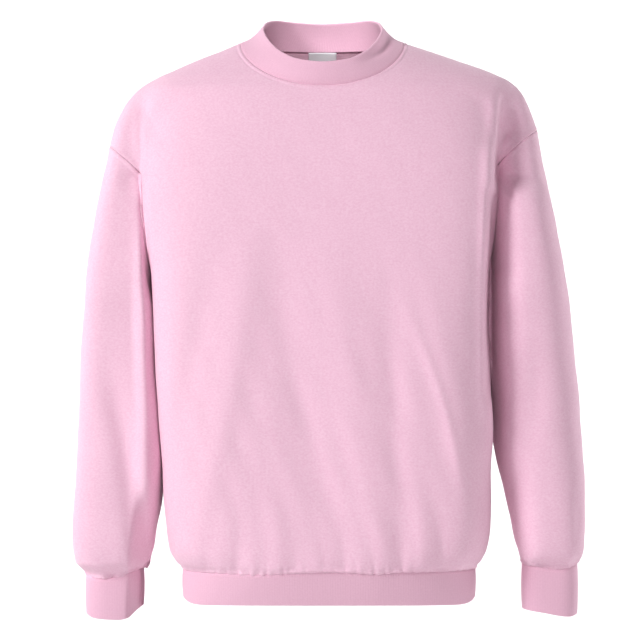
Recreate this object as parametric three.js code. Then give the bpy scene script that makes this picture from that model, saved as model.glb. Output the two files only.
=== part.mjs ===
// A pullover crewneck sweatshirt in heavy cotton-blend fleece, an adult medium, filled out as
// it hangs on somebody's shoulders with the arms down, and hollow inside.
//
// +X is the wearer's left, -Y is the front and +Z is up. The origin is between the two points
// where the shoulder seams meet the neck. Lengths are in millimetres.
//
// The cloth is two forms joined: a torso, and an arm on each side that runs into it above the
// armpit. Each form is a few sections down its height. The front and the back are cut from the
// joined form at the shoulders, the sides, the neck and the armholes, and the sleeves are
// the rest of the arms. Ribbed bands finish the neck, the wrists and the hem.

import * as THREE from "three";

// Cloth
const FLEECE = 2.0; // thickness of the fleece
const RIBBING = 2.6; // thickness of the doubled ribbing
const LABEL_CLOTH = 1.0; // thickness of the folded woven label
const SEAM_GAP = 0.3; // pieces stop this far from each other
const MITRE = 1.0; // the inner side of a wall stops this much shorter at a bent seam
const RIB_PITCH = 3.0; // from one rib to the next
const RIB_HEIGHT = 0.5; // from a furrow to the top of a rib

// Heights
const ARMPIT_Z = -286;
const HEM_SEAM_Z = -640; // the body is gathered into the waistband here
const HEM_Z = -678; // lower edge of the waistband
const SLEEVE_ROUND_Z = -316; // the sleeve's rings are level from here down

// Neck
const NECK_HALF_WIDTH = 99;
const NECK_DROP_FRONT = 58;
const NECK_DROP_BACK = 3;
const NECK_CENTRE_X = -3;

// Shape of the sections
const SHOULDER_SHARPNESS = 4; // how sharply the torso and the arm meet at the top

// The torso: half its width, its depth to the front and to the back, how far its middle lies
// off the centre line, and how square it is: 2 is an ellipse, more is boxier.
const TORSO = [
  { z: 6, half: 80, front: 18, back: 56, sway: -3, square: 2.5 },
  { z: 0, half: 99, front: 30, back: 64, sway: -3, square: 2.5 },
  { z: -8, half: 120, front: 41, back: 72, sway: -1, square: 2.5 },
  { z: -23, half: 161, front: 57, back: 84, sway: 3, square: 2.5 },
  { z: -38, half: 198, front: 71, back: 93, sway: 7, square: 2.5 },
  { z: -46, half: 213, front: 78, back: 97, sway: 6, square: 2.5 },
  { z: -60, half: 221, front: 87, back: 102, sway: 2, square: 2.8 },
  { z: -90, half: 220, front: 98, back: 107, sway: -3, square: 3.4 },
  { z: -140, half: 217, front: 108, back: 110, sway: -6, square: 4.6 },
  { z: -200, half: 214, front: 114, back: 110, sway: -6.5, square: 5.2 },
  { z: -246, half: 209.5, front: 116, back: 108, sway: -5.5, square: 5.4 },
  { z: -286, half: 204.2, front: 117, back: 106, sway: -5.2, square: 5.5 },
  { z: -345, half: 202, front: 116, back: 104, sway: -4, square: 5.5 },
  { z: -400, half: 202, front: 115, back: 102, sway: -1.5, square: 5.5 },
  { z: -448, half: 201.6, front: 114, back: 102, sway: 0.8, square: 5.5 },
  { z: -484, half: 200.3, front: 114, back: 102, sway: 1.7, square: 5.5 },
  { z: -520, half: 198.5, front: 114, back: 103, sway: 2, square: 5.2 },
  { z: -585, half: 196.5, front: 114, back: 106, sway: 3, square: 4.4 },
  { z: -615, half: 192, front: 113, back: 105.5, sway: 3, square: 3.8 },
  { z: -630, half: 185, front: 110.5, back: 104, sway: 4, square: 3.2 },
  { z: -640, half: 178, front: 107, back: 101.5, sway: 5, square: 2.8 },
  { z: -660, half: 177, front: 99, back: 95, sway: 5, square: 2.8 },
  { z: -678, half: 178, front: 91, back: 90, sway: 5, square: 2.8 },
];

// The wearer's left arm: the inner and outer edge of each section, its depth to the front and
// to the back, how far it has swung back, and how square it is. Above the armpit the inner
// edge is inside the torso.
const LEFT_ARM = [
  { z: -8, inner: 86, outer: 92, front: 0, back: 0, swing: 0, square: 2.8 },
  { z: -24, inner: 120, outer: 152, front: 0, back: 0, swing: 0, square: 2.8 },
  { z: -45, inner: 146, outer: 221, front: 25, back: 25, swing: 0, square: 2.8 },
  { z: -60, inner: 162, outer: 238, front: 38, back: 38, swing: 0, square: 2.8 },
  { z: -82, inner: 186, outer: 249, front: 50, back: 50, swing: 0, square: 2.8 },
  { z: -107, inner: 198, outer: 258, front: 61, back: 61, swing: 0, square: 2.8 },
  { z: -143, inner: 200, outer: 265, front: 71, back: 71, swing: 0, square: 2.6 },
  { z: -200, inner: 199.5, outer: 277, front: 79, back: 78, swing: 0, square: 2.5 },
  { z: -246, inner: 199.5, outer: 285.5, front: 82, back: 80, swing: 0, square: 2.5 },
  { z: -286, inner: 199.8, outer: 293, front: 83, back: 81, swing: 0, square: 2.5 },
  { z: -345, inner: 198.8, outer: 301, front: 79, back: 79, swing: 6, square: 2.5 },
  { z: -400, inner: 201.3, outer: 306.5, front: 75, back: 75, swing: 9, square: 2.5 },
  { z: -448, inner: 203.4, outer: 311, front: 71, back: 71, swing: 6, square: 2.5 },
  { z: -470, inner: 203.4, outer: 312, front: 69, back: 69, swing: 3, square: 2.5 },
  { z: -500, inner: 208, outer: 313.5, front: 67, back: 67, swing: -2, square: 2.6 },
  { z: -550, inner: 220, outer: 316, front: 62, back: 62, swing: -10, square: 2.6 },
  { z: -600, inner: 230, outer: 315, front: 55, back: 55, swing: -16, square: 2.7 },
  { z: -622, inner: 236, outer: 312, front: 46, back: 46, swing: -18, square: 2.8 },
  { z: -635, inner: 239, outer: 306, front: 31, back: 31, swing: -19, square: 2.8 },
  { z: -660, inner: 239.5, outer: 305, front: 27, back: 27, swing: -19, square: 2.8 },
  { z: -690, inner: 239, outer: 306, front: 27, back: 27, swing: -19, square: 2.8 },
];

// The wearer's right arm, with its x measured outward too.
const RIGHT_ARM = [
  { z: -8, inner: 86, outer: 92, front: 0, back: 0, swing: 0, square: 2.8 },
  { z: -24, inner: 116, outer: 146, front: 0, back: 0, swing: 0, square: 2.8 },
  { z: -45, inner: 138, outer: 207, front: 25, back: 25, swing: 0, square: 2.8 },
  { z: -60, inner: 160, outer: 229, front: 38, back: 38, swing: 0, square: 2.8 },
  { z: -82, inner: 190, outer: 246, front: 50, back: 50, swing: 0, square: 2.8 },
  { z: -107, inner: 206, outer: 256, front: 60, back: 60, swing: 0, square: 3.2 },
  { z: -143, inner: 212, outer: 264, front: 69, back: 69, swing: 0, square: 3.2 },
  { z: -200, inner: 212.5, outer: 276, front: 77, back: 76, swing: 0, square: 3.8 },
  { z: -246, inner: 211, outer: 283, front: 80, back: 78, swing: 0, square: 4.2 },
  { z: -286, inner: 210.3, outer: 288, front: 82, back: 80, swing: 0, square: 4.4 },
  { z: -345, inner: 206.8, outer: 293, front: 78, back: 78, swing: 4, square: 4.4 },
  { z: -400, inner: 204.4, outer: 296.5, front: 75, back: 75, swing: 6, square: 4.4 },
  { z: -448, inner: 201.8, outer: 298.5, front: 72, back: 72, swing: 4, square: 4.4 },
  { z: -482, inner: 199.7, outer: 299.5, front: 70, back: 70, swing: 1, square: 4.4 },
  { z: -530, inner: 197.2, outer: 302, front: 67, back: 67, swing: -5, square: 4.4 },
  { z: -555, inner: 199, outer: 304, front: 65, back: 65, swing: -7, square: 4 },
  { z: -600, inner: 206.5, outer: 306, front: 59, back: 59, swing: -11, square: 3.6 },
  { z: -630, inner: 212.5, outer: 303, front: 50, back: 50, swing: -13, square: 3 },
  { z: -646, inner: 220, outer: 290, front: 33, back: 33, swing: -14, square: 2.8 },
  { z: -670, inner: 221, outer: 289, front: 28, back: 28, swing: -14, square: 2.8 },
  { z: -700, inner: 220, outer: 290, front: 28, back: 28, swing: -14, square: 2.8 },
];

// Each side: which way is outward, its arm, how sharp its crease with the torso is, and where
// the armhole seam runs. The seam leaves the crease at bendZ and crosses to the outer edge at
// topZ.
const SIDES = {
  left: { out: 1, arm: LEFT_ARM, crease: 12, topZ: -107, bendZ: -152, cuffSeamZ: -636, cuffZ: -690 },
  right: { out: -1, arm: RIGHT_ARM, crease: 5, topZ: -128, bendZ: -166, cuffSeamZ: -647, cuffZ: -697 },
};

// Soft upright troughs in the body above the waistband: x where one meets the waistband, how
// high it runs, its half width and depth, and how far its upper end leans sideways.
const FRONT_TROUGHS = [
  { x: -138, topZ: -430, width: 17, depth: 6.0, lean: -10 },
  { x: -86, topZ: -520, width: 14, depth: 5.0, lean: 14 },
  { x: -56, topZ: -560, width: 12, depth: 3.5, lean: 8 },
  { x: -8, topZ: -410, width: 18, depth: 6.5, lean: -32 },
  { x: 68, topZ: -440, width: 17, depth: 6.0, lean: -16 },
  { x: 104, topZ: -530, width: 12, depth: 4.5, lean: -6 },
  { x: 146, topZ: -470, width: 13, depth: 6.0, lean: 2 },
];
const BACK_TROUGHS = [
  { x: -128, topZ: -450, width: 16, depth: 6.0, lean: -6 },
  { x: -74, topZ: -400, width: 18, depth: 6.5, lean: 12 },
  { x: -22, topZ: -520, width: 14, depth: 4.5, lean: 4 },
  { x: 34, topZ: -430, width: 17, depth: 6.0, lean: -10 },
  { x: 88, topZ: -540, width: 13, depth: 4.5, lean: -4 },
  { x: 136, topZ: -420, width: 16, depth: 6.0, lean: 8 },
];
const TROUGH_END = 14; // a trough closes over this height above the waistband seam

// Troughs down the sleeves above the cuff: the angle round the sleeve from its outer edge by
// the front, in degrees, and how far up it runs.
const SLEEVE_TROUGHS = {
  left: [
    { angle: 32, length: 90, width: 11, depth: 4.5 },
    { angle: 96, length: 46, width: 12, depth: 3.5 },
    { angle: 200, length: 110, width: 13, depth: 4.5 },
    { angle: 285, length: 70, width: 12, depth: 4.0 },
  ],
  right: [
    { angle: 40, length: 40, width: 11, depth: 3.5 },
    { angle: 78, length: 34, width: 10, depth: 3.5 },
    { angle: 138, length: 130, width: 13, depth: 7.0 },
    { angle: 235, length: 90, width: 13, depth: 5.0 },
    { angle: 310, length: 60, width: 12, depth: 4.0 },
  ],
};
const SLEEVE_TROUGH_END = 8;

// The upper edge of the neckband, from its lowest point at the front (0 degrees) to the back.
const NECKBAND_TOP = [
  { angle: 0, x: 0, y: -85, z: -31 },
  { angle: 22, x: 29, y: -80, z: -27 },
  { angle: 45, x: 54, y: -63, z: -14 },
  { angle: 68, x: 68, y: -38, z: 3 },
  { angle: 90, x: 73, y: -11, z: 16 },
  { angle: 112, x: 70, y: 16, z: 26 },
  { angle: 135, x: 56, y: 40, z: 31 },
  { angle: 158, x: 30, y: 54, z: 29.5 },
  { angle: 180, x: 0, y: 58, z: 28 },
];
const NECKBAND_SWELL = { middle: 1.6, side: -2 }; // how far it bulges between its edges

// Label inside the back of the neck
const LABEL_WIDTH = 35;
const LABEL_LENGTH = 44;
const LABEL_TOP_Z = -7;
const LABEL_GAP = { sewn: 0.7, free: 1.6 }; // from the back, at its upper and its lower edge

// How finely the cloth is divided
const COLUMNS_PER_SIDE = 18;
const NECK_COLUMNS = 8; // of those, the ones that end on the neck seam
const ROWS_BELOW_ARMPIT = 10;
const ROWS_ABOVE_ARMPIT = 10;
const ARMHOLE_RINGS = 6;
const SLEEVE_RINGS = 12;

const quarterTurn = Math.PI / 2;
const mix = (a, b, t) => a + (b - a) * t;
const clamp01 = (t) => Math.min(1, Math.max(0, t));
const smooth = (t) => clamp01(t) ** 2 * (3 - 2 * clamp01(t));

// A smooth curve through one column of a table, which doesn't overshoot its rows.
function curve(table, column, key = "z") {
  const rows = [...table].sort((p, q) => p[key] - q[key]);
  const steps = rows.slice(1).map((row, i) => {
    const width = row[key] - rows[i][key];
    return { width, slope: (row[column] - rows[i][column]) / width };
  });
  const slopes = rows.map((_, i) => {
    const before = steps[Math.max(0, i - 1)];
    const after = steps[Math.min(steps.length - 1, i)];
    if (before.slope * after.slope <= 0) return 0;
    const w1 = 2 * after.width + before.width;
    const w2 = after.width + 2 * before.width;
    return (w1 + w2) / (w1 / before.slope + w2 / after.slope);
  });
  return (at) => {
    const i = Math.max(0, Math.min(steps.length - 1, rows.findLastIndex((row) => row[key] <= at)));
    const { width } = steps[i];
    const t = clamp01((at - rows[i][key]) / width);
    const [a, b] = [rows[i][column], rows[i + 1][column]];
    const [ma, mb] = [slopes[i] * width, slopes[i + 1] * width];
    return a + t * ma + t * t * (3 * (b - a) - 2 * ma - mb) + t ** 3 * (2 * (a - b) + ma + mb);
  };
}

const curves = (table, ...columns) =>
  Object.fromEntries(columns.map((column) => [column, curve(table, column)]));

const torso = curves(TORSO, "half", "front", "back", "sway", "square");
for (const side of Object.values(SIDES)) {
  side.form = curves(side.arm, "inner", "outer", "front", "back", "swing", "square");
}

// Depth of a rounded section at a share of its half width, as a share of its full depth.
const roundness = (share, squareness) =>
  Math.pow(Math.max(0, 1 - Math.pow(Math.abs(share), squareness)), 1 / squareness);

// How far a row of troughs draws the body's cloth in at x, z.
function troughDepth(troughs, x, z) {
  return troughs.reduce((sum, trough) => {
    const run = clamp01((z - HEM_SEAM_Z) / (trough.topZ - HEM_SEAM_Z));
    const offset = (x - trough.x - trough.lean * run) / trough.width;
    const strength = (1 - smooth(run)) * smooth((z - HEM_SEAM_Z) / TROUGH_END);
    return sum + trough.depth * strength * Math.exp(-offset * offset);
  }, 0);
}

function torsoDepth(face, x, z) {
  const troughs = face === "front" ? FRONT_TROUGHS : BACK_TROUGHS;
  const shape = roundness((x - torso.sway(z)) / torso.half(z), torso.square(z));
  return (torso[face](z) - troughDepth(troughs, x, z)) * shape;
}

function armDepth(side, face, x, z) {
  const { inner, outer } = side.form;
  const centre = (inner(z) + outer(z)) / 2;
  const share = (x * side.out - centre) / (outer(z) - centre);
  return side.form[face](z) * roundness(share, side.form.square(z));
}

// Distance of the joined form from the plane y = 0, at x, z in the front view. The crease
// between the torso and the arm is soft at the shoulder and sharp by the armpit.
function formDepth(face, x, z) {
  const side = x > 0 ? SIDES.left : SIDES.right;
  const sharpness = mix(SHOULDER_SHARPNESS, side.crease, smooth((side.topZ + 10 - z) / 100));
  const parts = [torsoDepth(face, x, z), armDepth(side, face, x, z)];
  return Math.pow(parts.reduce((sum, depth) => sum + depth ** sharpness, 0), 1 / sharpness);
}

const facing = { front: -1, back: 1 };
const formPoint = (face, x, z) => new THREE.Vector3(x, facing[face] * formDepth(face, x, z), z);

// Outer edge of the torso and the arm together, in the front view.
const outlineX = (side, z) =>
  side.out * Math.max(torso.half(z) + side.out * torso.sway(z), side.form.outer(z));

// Where the torso and the arm meet in a crease above the armpit, found by halving.
function creaseX(side, face, z) {
  let near = side.form.inner(z);
  let far = torso.half(z) + side.out * torso.sway(z);
  for (let i = 0; i < 30; i++) {
    const middle = (near + far) / 2;
    const x = middle * side.out;
    if (torsoDepth(face, x, z) > armDepth(side, face, x, z)) near = middle;
    else far = middle;
  }
  return near * side.out;
}

// The armhole seam in the front view, from the armpit (0) to the top of the arm (1).
function armholePoint(side, face, share) {
  const z = mix(ARMPIT_Z, side.topZ, share);
  const across = clamp01((z - side.bendZ) / (side.topZ - side.bendZ)) ** 1.25;
  return [mix(creaseX(side, face, z), outlineX(side, side.topZ), across), z];
}

// The neck seam and the shoulder seam in the front view, from the middle (0) outward (1).
function topPoint(side, face, share) {
  const neckShare = NECK_COLUMNS / COLUMNS_PER_SIDE;
  if (share <= neckShare) {
    const angle = quarterTurn * (1 - (1 - share / neckShare) ** 1.5);
    const drop = face === "front" ? NECK_DROP_FRONT : NECK_DROP_BACK;
    return [NECK_CENTRE_X + side.out * NECK_HALF_WIDTH * Math.sin(angle), -drop * Math.cos(angle)];
  }
  const z = side.topZ * ((share - neckShare) / (1 - neckShare)) ** 1.8;
  return [outlineX(side, z), z];
}

// A grid over one face of the body, as rows of points from the waistband to the top. Points
// are set in the front view and dropped on to the form, closer together where it turns away.
function bodyGrid(face) {
  const rows = [];
  for (let j = 0; j <= ROWS_BELOW_ARMPIT + ROWS_ABOVE_ARMPIT; j++) {
    const row = [];
    for (let i = -COLUMNS_PER_SIDE; i <= COLUMNS_PER_SIDE; i++) {
      const side = i > 0 ? SIDES.left : SIDES.right;
      const share = Math.abs(i) / COLUMNS_PER_SIDE;
      const [x, z] = bodyPlace(side, face, share, j);
      row.push(formPoint(face, x, z));
    }
    rows.push(row);
  }
  return rows;
}

function bodyPlace(side, face, share, j) {
  const spread = Math.sin(quarterTurn * share);
  if (j < ROWS_BELOW_ARMPIT) {
    const z = mix(HEM_SEAM_Z, ARMPIT_Z, (j / ROWS_BELOW_ARMPIT) ** 1.35);
    return [torso.sway(z) + side.out * torso.half(z) * spread, z];
  }
  const rise = (j - ROWS_BELOW_ARMPIT) / ROWS_ABOVE_ARMPIT;
  const eased = Math.sin(quarterTurn * rise);
  const up = mix(rise, eased, Math.max(0.7, spread));
  const top = topPoint(side, face, share);
  const armpit = armholePoint(side, face, 0);
  const straightX = mix(armpit[0], topPoint(side, face, 1)[0], up);
  const pull = spread ** 4 * (armholePoint(side, face, up)[0] - straightX);
  const belowX = mix(torso.sway(ARMPIT_Z), armpit[0], spread);
  return [mix(belowX, top[0], up) + pull, mix(ARMPIT_Z, top[1], up)];
}

// Outward normals of a grid, from its neighbours. A closed grid wraps round along its rows.
function gridNormals(grid, outward, closed = false) {
  return grid.map((row, j) =>
    row.map((_, i) => {
      const n = row.length;
      const before = closed ? (i + n - 1) % n : Math.max(0, i - 1);
      const after = closed ? (i + 1) % n : Math.min(n - 1, i + 1);
      const below = grid[Math.max(0, j - 1)];
      const above = grid[Math.min(grid.length - 1, j + 1)];
      const along = new THREE.Vector3().subVectors(row[after], row[before]);
      const up = new THREE.Vector3().subVectors(above[i], below[i]);
      return along.cross(up).normalize().multiplyScalar(outward);
    }),
  );
}

const offsetGrid = (grid, normals, distance) =>
  grid.map((row, j) => row.map((p, i) => p.clone().addScaledVector(normals[j][i], distance)));

// Moves a grid's edge square to itself towards the next row, to leave half a seam's gap.
function trim(edge, nextRow, distance = SEAM_GAP / 2) {
  const last = edge.length - 1;
  const moves = edge.map((point, i) => {
    const [before, after] = [edge[Math.max(0, i - 1)], edge[Math.min(last, i + 1)]];
    const along = new THREE.Vector3().subVectors(after, before).normalize();
    const inward = new THREE.Vector3().subVectors(nextRow[i], point);
    return inward.addScaledVector(along, -inward.dot(along)).setLength(distance);
  });
  edge.forEach((point, i) => point.add(moves[i]));
}

// Trims a panel along both armholes.
function trimArmholes(grid, distance) {
  const upper = grid.slice(ROWS_BELOW_ARMPIT);
  const column = (i) => upper.map((row) => row.at(i));
  trim(column(0), column(1), distance);
  trim(column(-1), column(-2), distance);
}

// Collects triangles into one closed body.
class Surface {
  constructor() {
    this.positions = [];
    this.triangles = [];
  }
  add(point) {
    this.positions.push(point.x, point.y, point.z);
    return this.positions.length / 3 - 1;
  }
  addGrid(grid) {
    return grid.map((row) => row.map((point) => this.add(point)));
  }
  quad(a, b, c, d) {
    this.triangles.push(a, b, c, a, c, d);
  }
  // Faces between two rows of points that are numbered alike.
  band(lower, upper, closed = false) {
    const count = closed ? lower.length : lower.length - 1;
    for (let i = 0; i < count; i++) {
      const next = (i + 1) % lower.length;
      this.quad(lower[i], lower[next], upper[next], upper[i]);
    }
  }
  // Faces between two closed rings with different numbers of points.
  lace(lower, upper) {
    let [i, k] = [0, 0];
    while (i < lower.length || k < upper.length) {
      const lowerIsBehind = (i + 0.5) / lower.length <= (k + 0.5) / upper.length;
      if (k >= upper.length || (i < lower.length && lowerIsBehind)) {
        this.triangles.push(lower[i], lower[(i + 1) % lower.length], upper[k % upper.length]);
        i++;
      } else {
        this.triangles.push(lower[i % lower.length], upper[(k + 1) % upper.length], upper[k]);
        k++;
      }
    }
  }
  geometry() {
    const geometry = new THREE.BufferGeometry();
    geometry.setAttribute("position", new THREE.Float32BufferAttribute(this.positions, 3));
    geometry.setIndex(this.triangles);
    geometry.computeVertexNormals();
    return geometry;
  }
}

// A wall of cloth between two grids of the same size, open along its rows.
function sheetWall(outer, inner) {
  const surface = new Surface();
  const [out, into] = [surface.addGrid(outer), surface.addGrid(inner)];
  const last = out.length - 1;
  for (let j = 0; j < last; j++) {
    surface.band(out[j], out[j + 1]);
    surface.band(into[j + 1], into[j]);
  }
  surface.band(into[0], out[0]);
  surface.band(out[last], into[last]);
  const edge = (grid, i) => grid.map((row) => row.at(i));
  surface.band(edge(out, 0), edge(into, 0));
  surface.band(edge(into, -1), edge(out, -1));
  return surface.geometry();
}

// A tube of cloth between two stacks of rings. The outer rings may have more points.
function tubeWall(outer, inner) {
  const surface = new Surface();
  const [out, into] = [surface.addGrid(outer), surface.addGrid(inner)];
  for (let j = 0; j < out.length - 1; j++) surface.band(out[j], out[j + 1], true);
  for (let j = 0; j < into.length - 1; j++) surface.band(into[j + 1], into[j], true);
  surface.lace(into[0], out[0]);
  surface.lace(out.at(-1), into.at(-1));
  return surface.geometry();
}

// The front or the back of the body.
function bodyPanel(face) {
  const toFront = facing[face];
  const outer = bodyGrid(face);
  const normals = gridNormals(outer, 1).map((row) =>
    row.map((n) => (n.y * toFront < 0 && Math.abs(n.y) > 1e-6 ? n.negate() : n)),
  );
  trim(outer[0], outer[1]);
  trim(outer.at(-1), outer.at(-2));
  trimArmholes(outer);
  const inner = offsetGrid(outer, normals, -FLEECE);
  trim(inner.at(-1), inner.at(-2), MITRE);
  trimArmholes(inner, MITRE);
  for (const p of [...outer, ...inner].flat()) {
    p.y = toFront * Math.max(toFront * p.y, SEAM_GAP / 2);
  }
  for (const p of inner[0]) p.z = outer[0][0].z;
  return face === "front" ? sheetWall(outer, inner) : sheetWall(mirrored(outer), mirrored(inner));
}

const mirrored = (grid) => grid.map((row) => [...row].reverse());

// A sleeve: rings that start on the armhole seam, turn level below the armpit and go down to
// the cuff. Each ring runs from the outer edge by the front, the underarm and the back.
function sleeveGrid(side) {
  const count = 2 * ROWS_ABOVE_ARMPIT;
  const { inner, outer } = side.form;
  const place = (across, z, angle) => {
    const x = side.out * mix(inner(z), outer(z), across);
    const face = angle < Math.PI ? "front" : "back";
    const point = formPoint(face, x, z);
    point.y += side.form.swing(z);
    return point;
  };
  const across = (x, z) => Math.max(0, (x * side.out - inner(z)) / (outer(z) - inner(z)));
  const rings = [];
  for (let k = 0; k <= ARMHOLE_RINGS + SLEEVE_RINGS; k++) {
    const ring = [];
    for (let i = 0; i < count; i++) {
      const angle = (2 * Math.PI * i) / count;
      const level = (1 + Math.cos(angle)) / 2;
      if (k <= ARMHOLE_RINGS) {
        const face = angle < Math.PI ? "front" : "back";
        const step = Math.abs(ROWS_ABOVE_ARMPIT - i);
        const up = Math.sin((quarterTurn * step) / ROWS_ABOVE_ARMPIT);
        const [seamX, seamZ] = armholePoint(side, face, up);
        const fall = k / ARMHOLE_RINGS;
        ring.push(
          place(mix(across(seamX, seamZ), level, fall), mix(seamZ, SLEEVE_ROUND_Z, fall), angle),
        );
      } else {
        const down = 1 - (1 - (k - ARMHOLE_RINGS) / SLEEVE_RINGS) ** 1.5;
        ring.push(place(level, mix(SLEEVE_ROUND_Z, side.cuffSeamZ, down), angle));
      }
    }
    rings.push(ring);
  }
  return rings;
}

// Draws a sleeve's rings in along its troughs.
function pressSleeveTroughs(rings, normals, side, troughs) {
  rings.forEach((ring, k) => {
    const total = ring.length;
    ring.forEach((point, i) => {
      const height = point.z - side.cuffSeamZ;
      const radius = Math.hypot(side.form.front(point.z), 45) / Math.SQRT2;
      for (const trough of troughs) {
        const turn = (360 * i) / total - trough.angle;
        const offset = (((turn + 540) % 360) - 180) * (Math.PI / 180) * radius;
        const fade = (1 - smooth(height / trough.length)) * smooth(height / SLEEVE_TROUGH_END);
        const depth = trough.depth * fade * Math.exp(-((offset / trough.width) ** 2));
        point.addScaledVector(normals[k][i], -depth);
      }
    });
  });
}

function sleeve(name) {
  const side = SIDES[name];
  const rings = sleeveGrid(side);
  const turning = side.out;
  pressSleeveTroughs(rings, gridNormals(rings, turning, true), side, SLEEVE_TROUGHS[name]);
  const normals = gridNormals(rings, turning, true);
  trim(rings[0], rings[1]);
  trim(rings.at(-1), rings.at(-2));
  const inner = offsetGrid(rings, normals, -FLEECE);
  trim(inner[0], inner[1], MITRE);
  for (const p of inner.at(-1)) p.z = rings.at(-1)[0].z;
  const order = turning > 0 ? (grid) => grid : mirrored;
  return tubeWall(order(rings), order(inner));
}

// A ribbed band between two closed edges. The ribs are raised on its outside over a plain
// inside, where every fourth point is enough. spots(share) gives the place and the outward
// direction on each row at a share of the way round.
function ribbedBand(length, rowCount, spots, mitre = 0) {
  const ribs = Math.round(length / RIB_PITCH);
  const ring = (count, row, rise) =>
    Array.from({ length: count }, (_, i) => {
      const { point, normal } = spots(i / count, row);
      return point.clone().addScaledVector(normal, rise(i));
    });
  const rows = [...Array(rowCount).keys()];
  const outer = rows.map((row) => ring(2 * ribs, row, (i) => (i % 2 ? -RIB_HEIGHT : 0)));
  const inner = rows.map((row) => ring(Math.round(ribs / 2), row, () => -RIBBING));
  trim(inner[0], inner[1], mitre);
  return tubeWall(outer, inner);
}

// Length of a closed row of points.
const ringLength = (ring) =>
  ring.reduce((sum, p, i) => sum + p.distanceTo(ring[(i + 1) % ring.length]), 0);

// A level band on a rounded section, for the waist and the wrists. place(angle, z) is a point
// on the form.
function levelBand(topZ, bottomZ, rowCount, place) {
  const samples = 720;
  const height = (row) => mix(bottomZ, topZ, row / (rowCount - 1));
  const ring = Array.from({ length: samples }, (_, i) => place((2 * Math.PI * i) / samples, topZ));
  const total = ringLength(ring);
  const marks = [0];
  ring.forEach((p, i) => marks.push(marks[i] + p.distanceTo(ring[(i + 1) % samples]) / total));
  const angleAt = (share) => {
    const i = Math.min(samples - 1, marks.findLastIndex((mark) => mark <= share));
    const part = (share - marks[i]) / (marks[i + 1] - marks[i]);
    return (2 * Math.PI * (i + part)) / samples;
  };
  return ribbedBand(total, rowCount, (share, row) => {
    const angle = angleAt(share);
    const nudge = 0.002;
    const point = place(angle, height(row));
    const along = place(angle + nudge, height(row)).sub(place(angle - nudge, height(row)));
    return { point, normal: new THREE.Vector3(along.y, -along.x, 0).normalize() };
  });
}

function waistband() {
  return levelBand(HEM_SEAM_Z - SEAM_GAP / 2, HEM_Z, 2, (angle, z) => {
    const share = Math.sin(angle);
    const face = Math.cos(angle) > 0 ? "front" : "back";
    const depth = torso[face](z) * roundness(share, torso.square(z));
    return new THREE.Vector3(torso.sway(z) + torso.half(z) * share, facing[face] * depth, z);
  });
}

function cuff(name) {
  const side = SIDES[name];
  const { inner, outer, front, back, swing, square } = side.form;
  return levelBand(side.cuffSeamZ - SEAM_GAP / 2, side.cuffZ, 3, (angle, z) => {
    const centre = (inner(z) + outer(z)) / 2;
    const share = Math.sin(angle);
    const face = Math.cos(angle) > 0 ? "front" : "back";
    const depth = { front, back }[face](z) * roundness(share, square(z));
    const x = side.out * centre + (outer(z) - centre) * share;
    return new THREE.Vector3(x, facing[face] * depth + swing(z), z);
  });
}

// The neck seam as a closed ring: by the wearer's left from the front, and back by the right.
function neckSeam() {
  const fromMiddle = (side, face) =>
    Array.from({ length: NECK_COLUMNS + 1 }, (_, i) => {
      const [x, z] = topPoint(side, face, i / COLUMNS_PER_SIDE);
      return formPoint(face, x, z);
    });
  const { left, right } = SIDES;
  return [
    ...fromMiddle(left, "front").slice(0, -1),
    ...fromMiddle(left, "back").reverse().slice(0, -1),
    ...fromMiddle(right, "back").slice(0, -1),
    ...fromMiddle(right, "front").reverse().slice(0, -1),
  ];
}

// The band round the neck, standing up and leaning in from the neck seam.
function neckband() {
  const seam = neckSeam();
  const seamAt = (share) => {
    const place = share * seam.length;
    const i = Math.floor(place) % seam.length;
    return seam[i].clone().lerp(seam[(i + 1) % seam.length], place - Math.floor(place));
  };
  const top = Object.fromEntries(["x", "y", "z"].map((k) => [k, curve(NECKBAND_TOP, k, "angle")]));
  const topAt = (share) => {
    const angle = 360 * (share <= 0.5 ? share : 1 - share);
    const x = NECK_CENTRE_X + (share <= 0.5 ? 1 : -1) * top.x(angle);
    return new THREE.Vector3(x, top.y(angle), top.z(angle));
  };
  const middle = new THREE.Vector3(NECK_CENTRE_X, -10, -20);
  const rowCount = 3;
  return ribbedBand(ringLength(seam), rowCount, (share, row) => {
    const nudge = 0.004;
    const [low, high] = [seamAt(share), topAt(share)];
    const up = new THREE.Vector3().subVectors(high, low);
    const along = topAt((share + nudge) % 1).sub(topAt((share + 1 - nudge) % 1));
    const normal = along.cross(up).normalize();
    if (normal.dot(new THREE.Vector3().subVectors(low, middle)) < 0) normal.negate();
    const part = row / (rowCount - 1);
    const point = low.lerp(high, Math.max(part, SEAM_GAP / up.length()));
    const { middle: most, side: least } = NECKBAND_SWELL;
    const swell = mix(most, least, Math.sin(2 * Math.PI * share) ** 2);
    point.addScaledVector(normal, swell * Math.sin(Math.PI * part));
    return { point, normal };
  }, MITRE);
}

// The label hangs from the neck seam, close inside the back.
function neckLabel() {
  const [across, down] = [6, 6];
  const grid = Array.from({ length: down + 1 }, (_, j) =>
    Array.from({ length: across + 1 }, (_, i) => {
      const x = NECK_CENTRE_X + LABEL_WIDTH * (0.5 - i / across);
      return formPoint("back", x, LABEL_TOP_Z - LABEL_LENGTH * (1 - j / down));
    }),
  );
  const normals = gridNormals(grid, 1);
  grid.forEach((row, j) => {
    const gap = mix(LABEL_GAP.free, LABEL_GAP.sewn, (j / down) ** 4);
    row.forEach((point, i) => point.addScaledVector(normals[j][i], -FLEECE - gap));
  });
  return sheetWall(grid, offsetGrid(grid, normals, -LABEL_CLOTH));
}

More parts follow.
